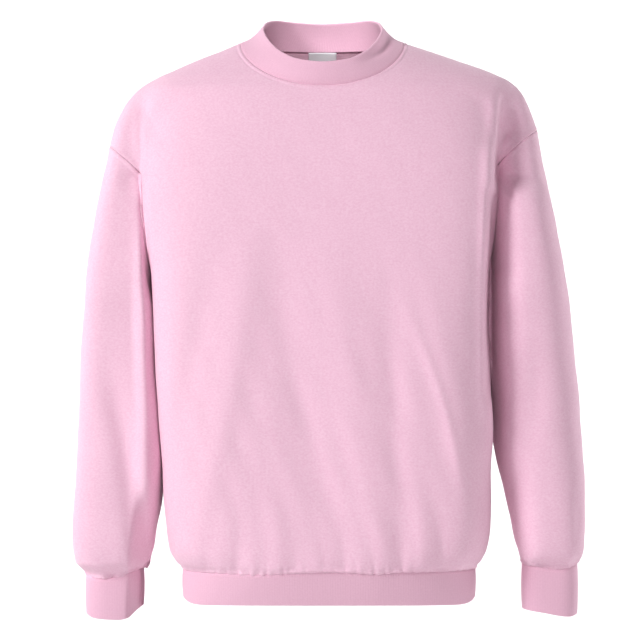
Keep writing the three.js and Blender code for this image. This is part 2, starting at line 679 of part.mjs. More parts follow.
const fleece = new THREE.MeshStandardMaterial({ color: 0xf6c9dd, roughness: 0.95, metalness: 0 });
const ribbing = new THREE.MeshStandardMaterial({ color: 0xeec0d5, roughness: 0.95, metalness: 0 });
const satin = new THREE.MeshStandardMaterial({ color: 0xf2f3f6, roughness: 0.6, metalness: 0 });

const sweatshirt = new THREE.Group();
function addPiece(name, geometry, material) {
  const mesh = new THREE.Mesh(geometry, material.clone());
  mesh.name = name;
  sweatshirt.add(mesh);
}

addPiece("front_panel", bodyPanel("front"), fleece);
addPiece("back_panel", bodyPanel("back"), fleece);
for (const name of Object.keys(SIDES)) {
  addPiece(`sleeve_${name}`, sleeve(name), fleece);
  addPiece(`cuff_${name}`, cuff(name), ribbing);
}
addPiece("neckband", neckband(), ribbing);
addPiece("waistband", waistband(), ribbing);
addPiece("neck_label", neckLabel(), satin);

export default sweatshirt;
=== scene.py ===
# %% [markdown]
# # A pink crewneck sweatshirt
#
# This notebook dresses a sweatshirt whose sizes are already fixed by a CAD model. The garment is
# filled out as on a wearer, with nobody in it, so it is a hollow shell of soft cloth: two body
# panels, two sleeves, and ribbing at the neck, wrists and hem.
#
# Everything here is in the CAD model's frame. Z is up, the front faces -Y, and the wearer's left
# is +X. Sizes are written in millimetres and turned into metres when a mesh is made.

# %% Load the CAD frame
import math

import bpy
import numpy as np
from mathutils.kdtree import KDTree
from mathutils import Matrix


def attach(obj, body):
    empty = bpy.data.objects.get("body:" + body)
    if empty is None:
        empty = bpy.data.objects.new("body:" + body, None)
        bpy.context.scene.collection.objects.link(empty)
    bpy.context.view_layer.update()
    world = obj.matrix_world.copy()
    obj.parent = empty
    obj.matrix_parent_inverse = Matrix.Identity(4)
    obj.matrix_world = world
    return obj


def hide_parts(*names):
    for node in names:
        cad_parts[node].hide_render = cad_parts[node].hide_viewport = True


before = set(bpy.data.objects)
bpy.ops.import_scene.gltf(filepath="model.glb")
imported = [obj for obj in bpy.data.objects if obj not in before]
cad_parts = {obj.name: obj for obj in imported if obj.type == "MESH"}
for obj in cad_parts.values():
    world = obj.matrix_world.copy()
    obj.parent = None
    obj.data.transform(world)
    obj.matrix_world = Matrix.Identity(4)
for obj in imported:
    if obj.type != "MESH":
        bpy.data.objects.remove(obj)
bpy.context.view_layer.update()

print("CAD nodes:", ", ".join(sorted(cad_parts)))

# %% [markdown]
# ## Camera
#
# A catalogue photo like this is taken with a long lens from a few metres away, level with the
# middle of the garment, so that the shoulders and the hem are seen almost straight on. A camera
# that stands 3.5 m away and takes in 781 mm at the garment does the same.

# %% Camera
CAMERA_DISTANCE = 3.5
VIEW_WIDTH = 0.781
SENSOR_WIDTH = 36.0

camera_data = bpy.data.cameras.new("camera")
camera_data.sensor_width = SENSOR_WIDTH
camera_data.lens = SENSOR_WIDTH * CAMERA_DISTANCE / VIEW_WIDTH
camera = bpy.data.objects.new("camera", camera_data)
camera.location = (-0.0061, -CAMERA_DISTANCE, -0.338)
camera.rotation_euler = (math.radians(90), 0, 0)
bpy.context.scene.collection.objects.link(camera)
bpy.context.scene.camera = camera
print(f"camera lens {camera_data.lens:.0f} mm")

# %% [markdown]
# ## The form
#
# A garment could be sculpted, or draped over a mannequin by Blender's cloth simulation. Here its
# outline is known exactly, so the form is worked out from short tables of sections, as a maker
# grades a pattern. One table holds the torso, and one each arm. A smooth curve runs through each
# column of a table.

# %% Tables and the curves through them
def rows(columns, *values):
    """A table as a list of rows with named columns."""
    return [dict(zip(columns.split(), row)) for row in values]


def curve(table, column, key):
    """A smooth curve through one column that never overshoots the table's rows."""
    table = sorted(table, key=lambda row: row[key])
    at = np.array([row[key] for row in table], float)
    value = np.array([row[column] for row in table], float)
    width = np.diff(at)
    slope = np.diff(value) / width
    before, after = np.r_[slope[0], slope], np.r_[slope, slope[-1]]
    near, far = np.r_[width[0], width], np.r_[width, width[-1]]
    same_way = before * after > 0
    safe_before, safe_after = np.where(same_way, before, 1), np.where(same_way, after, 1)
    w1, w2 = 2 * far + near, far + 2 * near
    tangent = np.where(same_way, (w1 + w2) / (w1 / safe_before + w2 / safe_after), 0)

    def read(x):
        x = np.clip(np.asarray(x, float), at[0], at[-1])
        i = np.clip(np.searchsorted(at, x, side="right") - 1, 0, len(width) - 1)
        t = (x - at[i]) / width[i]
        a, b = value[i], value[i + 1]
        ma, mb = tangent[i] * width[i], tangent[i + 1] * width[i]
        return a + t * ma + t**2 * (3 * (b - a) - 2 * ma - mb) + t**3 * (2 * (a - b) + ma + mb)

    return read


def curves(table, key="z"):
    """A curve for every column of a table but its key."""
    return {name: curve(table, name, key) for name in table[0] if name != key}


def mix(a, b, t):
    return a + (b - a) * t


def smooth(t):
    t = np.clip(t, 0, 1)
    return t * t * (3 - 2 * t)


# %% Sections of the torso and the arms
TORSO = curves(rows(
    "z half front back sway square",
    (6, 80, 18, 56, -3, 2.5),
    (0, 99, 30, 64, -3, 2.5),
    (-8, 120, 41, 72, -1, 2.5),
    (-23, 161, 57, 84, 3, 2.5),
    (-38, 198, 71, 93, 7, 2.5),
    (-46, 213, 78, 97, 6, 2.5),
    (-60, 221, 87, 102, 2, 2.8),
    (-90, 220, 98, 107, -3, 3.4),
    (-140, 217, 108, 110, -6, 4.6),
    (-200, 214, 114, 110, -6.5, 5.2),
    (-246, 209.5, 116, 108, -5.5, 5.4),
    (-286, 204.2, 117, 106, -5.2, 5.5),
    (-345, 202, 116, 104, -4, 5.5),
    (-400, 202, 115, 102, -1.5, 5.5),
    (-448, 201.6, 114, 102, 0.8, 5.5),
    (-484, 200.3, 114, 102, 1.7, 5.5),
    (-520, 198.5, 114, 103, 2, 5.2),
    (-585, 196.5, 114, 106, 3, 4.4),
    (-615, 192, 113, 105.5, 3, 3.8),
    (-630, 185, 110.5, 104, 4, 3.2),
    (-640, 178, 107, 101.5, 5, 2.8),
    (-660, 177, 99, 95, 5, 2.8),
    (-678, 178, 91, 90, 5, 2.8),
))
LEFT_ARM = curves(rows(
    "z inner outer depth swing square",
    (-8, 86, 92, 0, 0, 2.8),
    (-24, 120, 152, 0, 0, 2.8),
    (-45, 146, 221, 25, 0, 2.8),
    (-60, 162, 238, 38, 0, 2.8),
    (-82, 186, 249, 50, 0, 2.8),
    (-107, 198, 258, 61, 0, 2.8),
    (-143, 200, 265, 71, 0, 2.6),
    (-200, 199.5, 277, 78.5, 0, 2.5),
    (-246, 199.5, 285.5, 81, 0, 2.5),
    (-286, 199.8, 293, 82, 0, 2.5),
    (-345, 198.8, 301, 79, 6, 2.5),
    (-400, 201.3, 306.5, 75, 9, 2.5),
    (-448, 203.4, 311, 71, 6, 2.5),
    (-470, 203.4, 312, 69, 3, 2.5),
    (-500, 208, 313.5, 67, -2, 2.6),
    (-550, 220, 316, 62, -10, 2.6),
    (-600, 230, 315, 55, -16, 2.7),
    (-622, 236, 312, 46, -18, 2.8),
    (-635, 239, 306, 31, -19, 2.8),
    (-660, 239.5, 305, 27, -19, 2.8),
    (-690, 239, 306, 27, -19, 2.8),
))
RIGHT_ARM = curves(rows(
    "z inner outer depth swing square",
    (-8, 86, 92, 0, 0, 2.8),
    (-24, 116, 146, 0, 0, 2.8),
    (-45, 138, 207, 25, 0, 2.8),
    (-60, 160, 229, 38, 0, 2.8),
    (-82, 190, 246, 50, 0, 2.8),
    (-107, 206, 256, 60, 0, 3.2),
    (-143, 212, 264, 69, 0, 3.2),
    (-200, 212.5, 276, 76.5, 0, 3.8),
    (-246, 211, 283, 79, 0, 4.2),
    (-286, 210.3, 288, 81, 0, 4.4),
    (-345, 206.8, 293, 78, 4, 4.4),
    (-400, 204.4, 296.5, 75, 6, 4.4),
    (-448, 201.8, 298.5, 72, 4, 4.4),
    (-482, 199.7, 299.5, 70, 1, 4.4),
    (-530, 197.2, 302, 67, -5, 4.4),
    (-555, 199, 304, 65, -7, 4),
    (-600, 206.5, 306, 59, -11, 3.6),
    (-630, 212.5, 303, 50, -13, 3),
    (-646, 220, 290, 33, -14, 2.8),
    (-670, 221, 289, 28, -14, 2.8),
    (-700, 220, 290, 28, -14, 2.8),
))
SIDES = {
    "left": dict(out=1, arm=LEFT_ARM, crease=12, top=-107, bend=-152, seam=-636, end=-690),
    "right": dict(out=-1, arm=RIGHT_ARM, crease=5, top=-128, bend=-166, seam=-647, end=-697),
}
ARMPIT_Z, HEM_SEAM_Z, HEM_Z, SLEEVE_ROUND_Z = -286, -640, -678, -316
FACING = {"front": -1, "back": 1}
print("chest section is", round(2 * float(TORSO["half"](-250))), "mm wide")

# %% [markdown]
# Seen from the front, each point of the cloth has a depth towards the viewer. Where the torso and
# an arm meet, the two depths are joined by a power mean, which is soft at the shoulder and sharp
# by the armpit, as the cloth itself folds there.


# %% Depth of the joined form
def rounded(share, squareness):
    return np.maximum(0, 1 - np.abs(share) ** squareness) ** (1 / squareness)


def torso_depth(face, x, z):
    return TORSO[face](z) * rounded((x - TORSO["sway"](z)) / TORSO["half"](z), TORSO["square"](z))


def arm_depth(side, x, z):
    inner, outer = side["arm"]["inner"](z), side["arm"]["outer"](z)
    centre = (inner + outer) / 2
    share = (x * side["out"] - centre) / (outer - centre)
    return side["arm"]["depth"](z) * rounded(share, side["arm"]["square"](z))


def form_depth(face, x, z):
    x, z = np.broadcast_arrays(np.asarray(x, float), np.asarray(z, float))
    on_left = x > 0
    arm = np.where(on_left, arm_depth(SIDES["left"], x, z), arm_depth(SIDES["right"], x, z))
    left, right = SIDES["left"], SIDES["right"]
    top, crease = (np.where(on_left, left[k], right[k]) for k in ("top", "crease"))
    sharpness = mix(4, crease, smooth((top + 10 - z) / 100))
    return (torso_depth(face, x, z) ** sharpness + arm**sharpness) ** (1 / sharpness)


def form_point(face, x, z):
    x, z = np.broadcast_arrays(np.asarray(x, float), np.asarray(z, float))
    return np.stack([x, FACING[face] * form_depth(face, x, z), z], axis=-1)


def outline_x(side, z):
    torso = TORSO["half"](z) + side["out"] * TORSO["sway"](z)
    return side["out"] * np.maximum(torso, side["arm"]["outer"](z))


def crease_x(side, face, z):
    """Where the torso and the arm meet, found by halving."""
    near = side["arm"]["inner"](z)
    far = TORSO["half"](z) + side["out"] * TORSO["sway"](z)
    for _ in range(30):
        middle = (near + far) / 2
        x = middle * side["out"]
        in_torso = torso_depth(face, x, z) > arm_depth(side, x, z)
        near, far = np.where(in_torso, middle, near), np.where(in_torso, far, middle)
    return near * side["out"]


# %% [markdown]
# ## Seam lines
#
# The pattern pieces are cut from the form along seams: a round neck, a shoulder seam on the ridge,
# and a dropped armhole that starts on the upper arm and runs down the crease to the armpit.

# %% Neck, shoulder and armhole seams
NECK_HALF_WIDTH, NECK_DROP, NECK_CENTRE_X = 99, {"front": 58, "back": 3}, -3
NECK_SHARE = 8 / 18  # share of a panel's half width that ends on the neck seam
HEM_LIFT = curve(rows(
    "x lift",
    (-180, 0), (-125, 0), (-88, -1.5), (-38, 1.5), (4, 3), (34, 2.2), (58, 0.2), (92, 2.6),
    (135, 2.2), (180, 2),
), "lift", "x")
CUFF_SEAM_LIFT = {
    "left": curve(rows(
        "x lift", (236, 4), (250, 1.5), (268, -2), (287, -3), (298, 1), (306, 4),
    ), "lift", "x"),
    "right": curve(rows(
        "x lift", (-294, 4), (-286, -2), (-266, -4), (-246, -1), (-236, 5), (-220, 8),
    ), "lift", "x"),
}
CUFF_END_LIFT = {
    "left": curve(rows("x lift", (238, 2.5), (262, -1), (296, -6), (306, -4)), "lift", "x"),
    "right": curve(rows(
        "x lift", (-291, 4), (-280, -1), (-250, -3), (-238, -1), (-229, 6), (-220, 13),
    ), "lift", "x"),
}


def waistband_end_lift(x):
    share = np.minimum(1, np.abs((x - TORSO["sway"](HEM_Z)) / TORSO["half"](HEM_Z)))
    return 9 * share**24 - 7 * (1 - rounded(0.97 * share, 2.8))


def armhole_point(side, face, share):
    """The armhole seam in the front view, from the armpit (0) to the top of the arm (1)."""
    z = mix(ARMPIT_Z, side["top"], share)
    across = np.clip((z - side["bend"]) / (side["top"] - side["bend"]), 0, 1) ** 1.25
    return mix(crease_x(side, face, z), outline_x(side, side["top"]), across), z


def neck_point(side, face, share):
    """The neck seam in the front view, from the middle (0) to the shoulder (1)."""
    angle = np.pi / 2 * (1 - (1 - share) ** 1.5)
    x = NECK_CENTRE_X + side["out"] * NECK_HALF_WIDTH * np.sin(angle)
    return x, -NECK_DROP[face] * np.cos(angle)


def top_point(side, face, share):
    """The neck seam and then the shoulder seam, from the middle (0) outward (1)."""
    neck = neck_point(side, face, np.clip(share / NECK_SHARE, 0, 1))
    z = side["top"] * np.clip((share - NECK_SHARE) / (1 - NECK_SHARE), 0, 1) ** 1.8
    shoulder = outline_x(side, z), z
    return tuple(np.where(share <= NECK_SHARE, a, b) for a, b in zip(neck, shoulder))


# %% [markdown]
# ## Folds
#
# Cloth that hangs from the shoulders and is gathered into ribbing falls in soft troughs and
# ridges. Each is given as a line from a lower to an upper end, with a bow, a width at each
# end and a depth, which is negative for a ridge. A gather is deepest at its lower end, a drag
# fold, which tension pulls across open cloth, is deepest in the middle, and a step drops the
# cloth beside its line, as where a shoulder ends or a cuff has turned.

# %% How a fold draws the cloth in
FOLD_COLUMNS = "x0 z0 x1 z1 bow w0 w1 depth kind"
STEP_REACH, STEP_END = 90, 18  # how far a step is felt beside its line, and past its ends


def fold_depth(folds, x, z):
    """How far a table of folds draws the cloth in at x, z."""
    total = np.zeros(np.broadcast(x, z).shape)
    for f in folds:
        dx, dz = f["x1"] - f["x0"], f["z1"] - f["z0"]
        length = math.hypot(dx, dz)
        run = ((x - f["x0"]) * dx + (z - f["z0"]) * dz) / length**2
        t = np.clip(run, 0, 1)
        aside = ((x - f["x0"]) * dz - (z - f["z0"]) * dx) / length - 4 * f["bow"] * t * (1 - t)
        width = mix(f["w0"], f["w1"], t)
        past = (run - t) * length
        if f["kind"] == "step":
            shape = smooth(aside / width + 0.5)
            shape *= np.exp(-((np.maximum(0, aside) / STEP_REACH) ** 2))
            shape *= smooth(1.8 * (1 - t)) * np.exp(-((past / STEP_END) ** 2))
        else:
            shape = (1 - smooth(t)) if f["kind"] == "gather" else np.sin(np.pi * mix(0.1, 0.9, t))
            shape = shape * np.exp(-((aside / width) ** 2) - (past / width) ** 2)
        total += f["depth"] * shape
    return total


def draw_in(points, folds, middle=0.0, turning=26):
    """Moves points back, or forth, by a table of folds. Where the cloth turns away at a side,
    nearer to the middle than about turning, the move dies out, so the outline stays."""
    depth = points[..., 1] - middle
    move = fold_depth(folds, points[..., 0], points[..., 2]) * smooth((np.abs(depth) - 4) / turning)
    move = np.minimum(move, 0.95 * np.abs(depth))
    points[..., 1] -= np.sign(depth) * move
    return points


def normals_of(grid, ring=False):
    if ring:
        along = np.roll(grid, -1, axis=1) - np.roll(grid, 1, axis=1)
    else:
        along = np.gradient(grid, axis=1)
    up = np.gradient(grid, axis=0)
    normal = np.cross(along, up)
    return normal / np.maximum(np.linalg.norm(normal, axis=-1, keepdims=True), 1e-12)


def turn_back(points, folds, middle):
    """Moves only the front of a ring of points back, by a table of folds."""
    moved = draw_in(points.copy(), folds, middle, 10)
    return np.where((points[..., 1] < middle)[..., None], moved, points)


def taut(grid, weight, rounds):
    """Cloth under tension spans small hollows: each round lifts a point towards its neighbours."""
    for _ in range(rounds):
        out = normals_of(grid)[1:-1, 1:-1]
        mean = (grid[:-2, 1:-1] + grid[2:, 1:-1] + grid[1:-1, :-2] + grid[1:-1, 2:]) / 4
        hollow = np.einsum("ijk,ijk->ij", mean - grid[1:-1, 1:-1], out)
        grid[1:-1, 1:-1, 1] += np.maximum(0, hollow) * weight[1:-1, 1:-1] * out[..., 1]
    return grid


# %% [markdown]
# A filled-out garment is never perfectly smooth. Between its folds the cloth wavers by a
# millimetre or two. A few sine waves with fixed, unrelated directions and lengths give that
# without any randomness, so the result is the same on every run.


# %% Slow unevenness of the cloth
def waver(u, v, seed):
    """The sum of three waves, each given by its length and height in millimetres."""
    total = 0
    for k, (length, height) in enumerate([(95, 0.9), (61, 0.6), (43, 0.35)]):
        turn = 2.4 * k + 1.7 * seed
        along = u * math.cos(turn) + 0.6 * v * math.sin(turn)
        across = v * math.cos(turn * 1.3) - u * math.sin(turn * 1.3)
        wave = height * np.sin(2 * np.pi * along / length + seed)
        total = total + wave * np.cos(2 * np.pi * across / (1.7 * length) + 2 * seed)
    return total


def puckers(along, away, seed, pitch, height, reach):
    """Small uneven gathers where full cloth is sewn to tighter ribbing."""
    drift = 2.1 * np.sin(along / 31 + seed) + 1.3 * np.sin(along / 17.3 + 2 * seed)
    wave = np.sin(2 * np.pi * along / pitch + drift)
    wave = wave + 0.6 * np.sin(2 * np.pi * along / (0.61 * pitch) + 3 * seed)
    size = 0.65 + 0.35 * np.sin(along / 23 + 4 * seed)
    return height * size * wave * np.exp(-((away / reach) ** 2))


# %% [markdown]
# ## From a grid of points to a cloth mesh
#
# Each piece of cloth is a grid of points, which keeps the faces even and lets the knit follow the
# cloth: the UV map is simply the distance along the rows and columns in metres, like the grain of
# the fabric. A Solidify modifier then gives the sheet its real thickness.


# %% Distances, and a mesh from a grid
MM = 0.001  # a millimetre in metres


def lengths_along(grid, axis):
    """Distance along the grid from its first point, for every point."""
    step = np.linalg.norm(np.diff(grid, axis=axis), axis=-1)
    start = np.zeros_like(np.take(step, [0], axis=axis))
    return np.cumsum(np.concatenate([start, step], axis=axis), axis=axis)


def closed(grid):
    """A grid of rings with its first column again at the end."""
    return np.concatenate([grid, grid[:, :1]], axis=1)


def linked(name, data):
    """A new object in the scene."""
    thing = bpy.data.objects.new(name, data)
    bpy.context.scene.collection.objects.link(thing)
    return thing


def smooth_shaded(mesh):
    mesh.polygons.foreach_set("use_smooth", np.ones(len(mesh.polygons), bool))


def cloth_mesh(name, grid, uv, closed_rows=False, closed_columns=False):
    """A smooth mesh from a grid in millimetres. uv is in metres, with one more column or row
    where the grid closes on itself."""
    down, across = grid.shape[:2]
    index = np.arange(down * across).reshape(down, across)
    if closed_rows:
        index = closed(index)
    if closed_columns:
        index = np.concatenate([index, index[:1]], axis=0)
    corners, places = (
        np.stack([g[:-1, :-1], g[:-1, 1:], g[1:, 1:], g[1:, :-1]], axis=2) for g in (index, uv)
    )
    mesh = bpy.data.meshes.new(name)
    count = corners.shape[0] * corners.shape[1]
    mesh.vertices.add(down * across)
    mesh.vertices.foreach_set("co", (grid.reshape(-1, 3) * MM).ravel())
    mesh.loops.add(4 * count)
    mesh.loops.foreach_set("vertex_index", corners.ravel())
    mesh.polygons.add(count)
    mesh.polygons.foreach_set("loop_start", np.arange(0, 4 * count, 4))
    mesh.uv_layers.new(name="cloth").data.foreach_set("uv", places.ravel())
    mesh.update(calc_edges=True)
    mesh.validate()
    smooth_shaded(mesh)
    return linked(name, mesh)


def grain(grid):
    """UV of a grid in metres: along its rows from the middle, and up its columns."""
    u, v = lengths_along(grid, 1), lengths_along(grid, 0)
    middle = slice(grid.shape[1] // 2, grid.shape[1] // 2 + 1)
    return np.stack([u - u[:, middle], np.broadcast_to(v[:, middle], u.shape)], axis=-1) * MM


# %% [markdown]
# ## Front and back
#
# The body panels carry the garment's look: a smooth chest, long soft folds that lean from the
# sides towards the chest, and gathers that rise from the waistband. The folds are in a table for
# each face. Those of the back are not seen in the photo, so they are similar ones.

# %% Folds of the body
BODY_FOLDS = {
    "front": rows(
        FOLD_COLUMNS,
        # gathers above the waistband, from the wearer's right to left
        (-138, -634, -141, -550, 0, 8, 13, 1.6, "gather"),
        (-104, -634, -100, -535, 0, 8, 12, 2.2, "gather"),
        (-84, -636, -86, -590, 0, 6, 9, -1.2, "gather"),
        (-56, -636, -62, -500, 0, 10, 16, -2.4, "gather"),
        (-36, -636, -36, -596, 0, 6, 8, 1.2, "gather"),
        (-10, -636, -12, -590, 0, 7, 9, -1.2, "gather"),
        (22, -636, 20, -560, 0, 8, 12, 2.0, "gather"),
        (46, -636, 47, -592, 0, 6, 8, -1.2, "gather"),
        (68, -634, 60, -540, 0, 8, 12, -1.4, "gather"),
        (90, -636, 90, -560, 0, 7, 11, 2.2, "gather"),
        (117, -634, 110, -490, 0, 8, 12, -2.2, "gather"),
        (139, -636, 134, -530, 0, 7, 10, 2.4, "gather"),
        (160, -634, 164, -560, 0, 8, 12, -1.8, "gather"),
        # long soft folds across open cloth
        (-184, -530, -136, -276, 0, 16, 19, 3.0, "drag"),
        (-152, -590, -90, -258, 8, 17, 20, -3.6, "drag"),
        (14, -604, -58, -262, -8, 18, 24, 3.8, "drag"),
        (66, -604, 10, -266, -4, 18, 24, -3.2, "drag"),
        (91, -606, 74, -296, 0, 13, 16, 3.2, "drag"),
        (160, -528, 99, -332, 8, 6, 7, -1.9, "drag"),
        (168, -604, 124, -300, 6, 15, 18, -2.8, "drag"),
        (192, -606, 180, -340, 0, 13, 15, 5.0, "drag"),
        # the wearer's right shoulder
        (-219, -100, -216, -74, 0, 8, 7, 3.6, "drag"),
        (-190, -134, -214, -92, 0, 13, 9, 2.4, "drag"),
        (-219.5, -160, -222, -88, 0, 2.6, 3, 2.0, "drag"),
        # the wearer's left shoulder, with a light ridge and small wrinkles beside its crease
        (196, -170, 204, -56, 0, 9, 8, -4.0, "drag"),
        (193, -450, 196, -140, 0, 10, 10, -12, "drag"),
        (214, -132, 228, -114, 0, 2.6, 3, -1.3, "drag"),
        (212, -124, 226, -105, 0, 2.6, 3, 1.3, "drag"),
        (216, -142, 230, -126, 0, 2.6, 3, 1.2, "drag"),
        # the lip of the nearly closed crease by the wearer's right sleeve
        (-203, -510, -210, -190, 0, 7, 7, -7, "drag"),
    ),
    "back": rows(
        FOLD_COLUMNS,
        (-134, -630, -140, -470, 3, 12, 20, 5.0, "gather"),
        (-112, -632, -114, -560, 0, 8, 12, -3.6, "gather"),
        (-76, -632, -64, -420, 5, 10, 20, 6.4, "gather"),
        (-48, -632, -50, -580, 0, 7, 10, -3.0, "gather"),
        (-22, -634, -19, -540, 0, 9, 14, 4.2, "gather"),
        (6, -632, 4, -500, 0, 9, 16, -3.4, "gather"),
        (34, -632, 24, -440, -4, 10, 20, 6.0, "gather"),
        (62, -632, 64, -570, 0, 8, 11, -3.2, "gather"),
        (88, -634, 84, -550, 0, 9, 13, 4.0, "gather"),
        (112, -632, 110, -520, 0, 8, 15, -3.8, "gather"),
        (136, -630, 144, -440, 4, 10, 18, 5.6, "gather"),
        (-60, -420, -130, -180, -10, 20, 24, 3.6, "drag"),
        (60, -430, 128, -190, 8, 20, 26, 3.2, "drag"),
        (-20, -360, 30, -150, 10, 26, 30, -2.4, "drag"),
        (100, -420, 150, -220, 0, 16, 20, -2.6, "drag"),
        (-104, -400, -160, -230, 0, 16, 20, -2.8, "drag"),
    ),
}

# By the wearer's left arm the cloth drops at the shoulder, and the sleeve stands back from the
# chest. Both cross the seam, so they move the panel and the sleeve alike.
FOLDS_ACROSS_THE_SEAM = rows(
    FOLD_COLUMNS,
    (203, -160, 212, -56, 0, 3.4, 5, 23, "step"),
    (199, -425, 201, -190, 0, 8, 7, 44, "drag"),
)

# %% [markdown]
# A panel's grid is laid out in the front view, closer together where the cloth turns away at the
# sides, and dropped on to the form. The folds move it straight back or forth, so the outline is
# kept. Near every seam the cloth dips, because the stitches pull it down.

# %% Build the two panels
HALF_COLUMNS, ROWS_BELOW, ROWS_ABOVE = 108, 108, 90
FLEECE_MM = 2.0
SEAM_DIP, SEAM_RIDGE, NEEDLE_DIP = 0.35, 0.6, 0.3


def seam_dip(distance):
    """The seam line, the ridge of folded cloth beside it, and the groove of the outer needle."""
    line = SEAM_DIP * np.exp(-(distance**2))
    ridge = SEAM_RIDGE * np.exp(-(((distance - 3.0) / 1.7) ** 2))
    groove = NEEDLE_DIP * np.exp(-(((distance - 5.6) / 0.9) ** 2))
    return line - ridge + groove


def distance_to(line, grid):
    """Distance from every point of a grid to a line, which is a row of points."""
    at = lengths_along(line, 0)
    close = np.arange(0, at[-1], 0.4)
    close = np.stack([np.interp(close, at, line[:, k]) for k in range(3)], axis=-1)
    tree = KDTree(len(close))
    for i, point in enumerate(close.tolist()):
        tree.insert(point, i)
    tree.balance()
    nearest = [tree.find(point)[2] for point in grid.reshape(-1, 3).tolist()]
    return np.array(nearest).reshape(grid.shape[:2])


def panel_half(side, face):
    share = np.linspace(0, 1, HALF_COLUMNS + 1)[None, :]
    spread = np.sin(np.pi / 2 * share)
    low = (np.linspace(0, 1, ROWS_BELOW, endpoint=False) ** 1.35)[:, None]
    hem_x = TORSO["sway"](HEM_SEAM_Z) + side["out"] * TORSO["half"](HEM_SEAM_Z) * spread
    low_z = mix(HEM_SEAM_Z + HEM_LIFT(hem_x), ARMPIT_Z, low)
    low_x = TORSO["sway"](low_z) + side["out"] * TORSO["half"](low_z) * spread
    rise = np.linspace(0, 1, ROWS_ABOVE + 1)[:, None]
    eased = np.sin(np.pi / 2 * rise)
    up = mix(rise, eased, np.maximum(0.7, spread))
    top_x, top_z = top_point(side, face, share)
    armpit_x, _ = armhole_point(side, face, 0.0)
    armhole_x, _ = armhole_point(side, face, up)
    straight = mix(armpit_x, outline_x(side, side["top"]), up)
    below = mix(TORSO["sway"](ARMPIT_Z), armpit_x, spread)
    high_x = mix(below, top_x, up) + spread**4 * (armhole_x - straight)
    high_z = mix(ARMPIT_Z, top_z, up)
    x, z = np.concatenate([low_x, high_x]), np.concatenate([low_z, high_z])
    return form_point(face, x, z)


def body_panel(face):
    right = panel_half(SIDES["right"], face)[:, :0:-1]
    grid = np.concatenate([right, panel_half(SIDES["left"], face)], axis=1)
    if face == "back":
        grid = grid[:, ::-1]
    x, z = grid[..., 0], grid[..., 2]
    across, from_hem = lengths_along(grid, 1), lengths_along(grid, 0)
    from_top = distance_to(grid[-1], grid)
    from_side = np.minimum(across, across[:, -1:] - across)
    from_armhole = np.minimum(*(distance_to(grid[ROWS_BELOW:, k], grid) for k in (0, -1)))
    shoulders = smooth((z + 175) / 50) * smooth(from_top / 16) * smooth(from_side / 12)
    grid = taut(grid, shoulders, 90)
    flat = grid.copy()
    held = (smooth(from_hem / 9) * smooth(from_top / 8) * smooth(from_side / 6))[..., None]
    grid = mix(flat, draw_in(grid, BODY_FOLDS[face]), held)
    if face == "front":
        grid = draw_in(grid, FOLDS_ACROSS_THE_SEAM)
    normal = normals_of(grid)
    calm = mix(1, 0.3, smooth((z + 480) / 200))
    press = calm * waver(x, z, 1 if face == "front" else 2)
    press *= smooth(from_side / 40) * smooth(from_hem / 30)
    press += puckers(x, from_hem, 1.3, pitch=11, height=0.7, reach=11)
    press += seam_dip(from_hem) + seam_dip(from_top) + seam_dip(from_armhole)
    grid = grid - normal * press[..., None]
    grid[..., 1] = FACING[face] * np.maximum(FACING[face] * grid[..., 1], 0.12)
    return grid


def area_of(grid):
    """Area of a grid in square metres."""
    edge_a = grid[1:, 1:] - grid[:-1, :-1]
    edge_b = grid[1:, :-1] - grid[:-1, 1:]
    return float(np.linalg.norm(np.cross(edge_a, edge_b), axis=-1).sum()) / 2 * MM**2


panel_grids = {face: body_panel(face) for face in FACING}
panels = {}
for face, grid in panel_grids.items():
    panels[face] = cloth_mesh(f"{face}_of_body", grid, grain(grid))
    print(face, "panel", grid.shape[:2], f"{area_of(grid):.3f} m2")

# %% [markdown]
# ## Sleeves
#
# A sleeve is a tube whose rings start on the slanting armhole seam and turn level below the
# armpit. The wearer's right sleeve has a deep fold that runs down its inner side into the cuff,
# and small pleats where the wide sleeve is eased into the cuff.

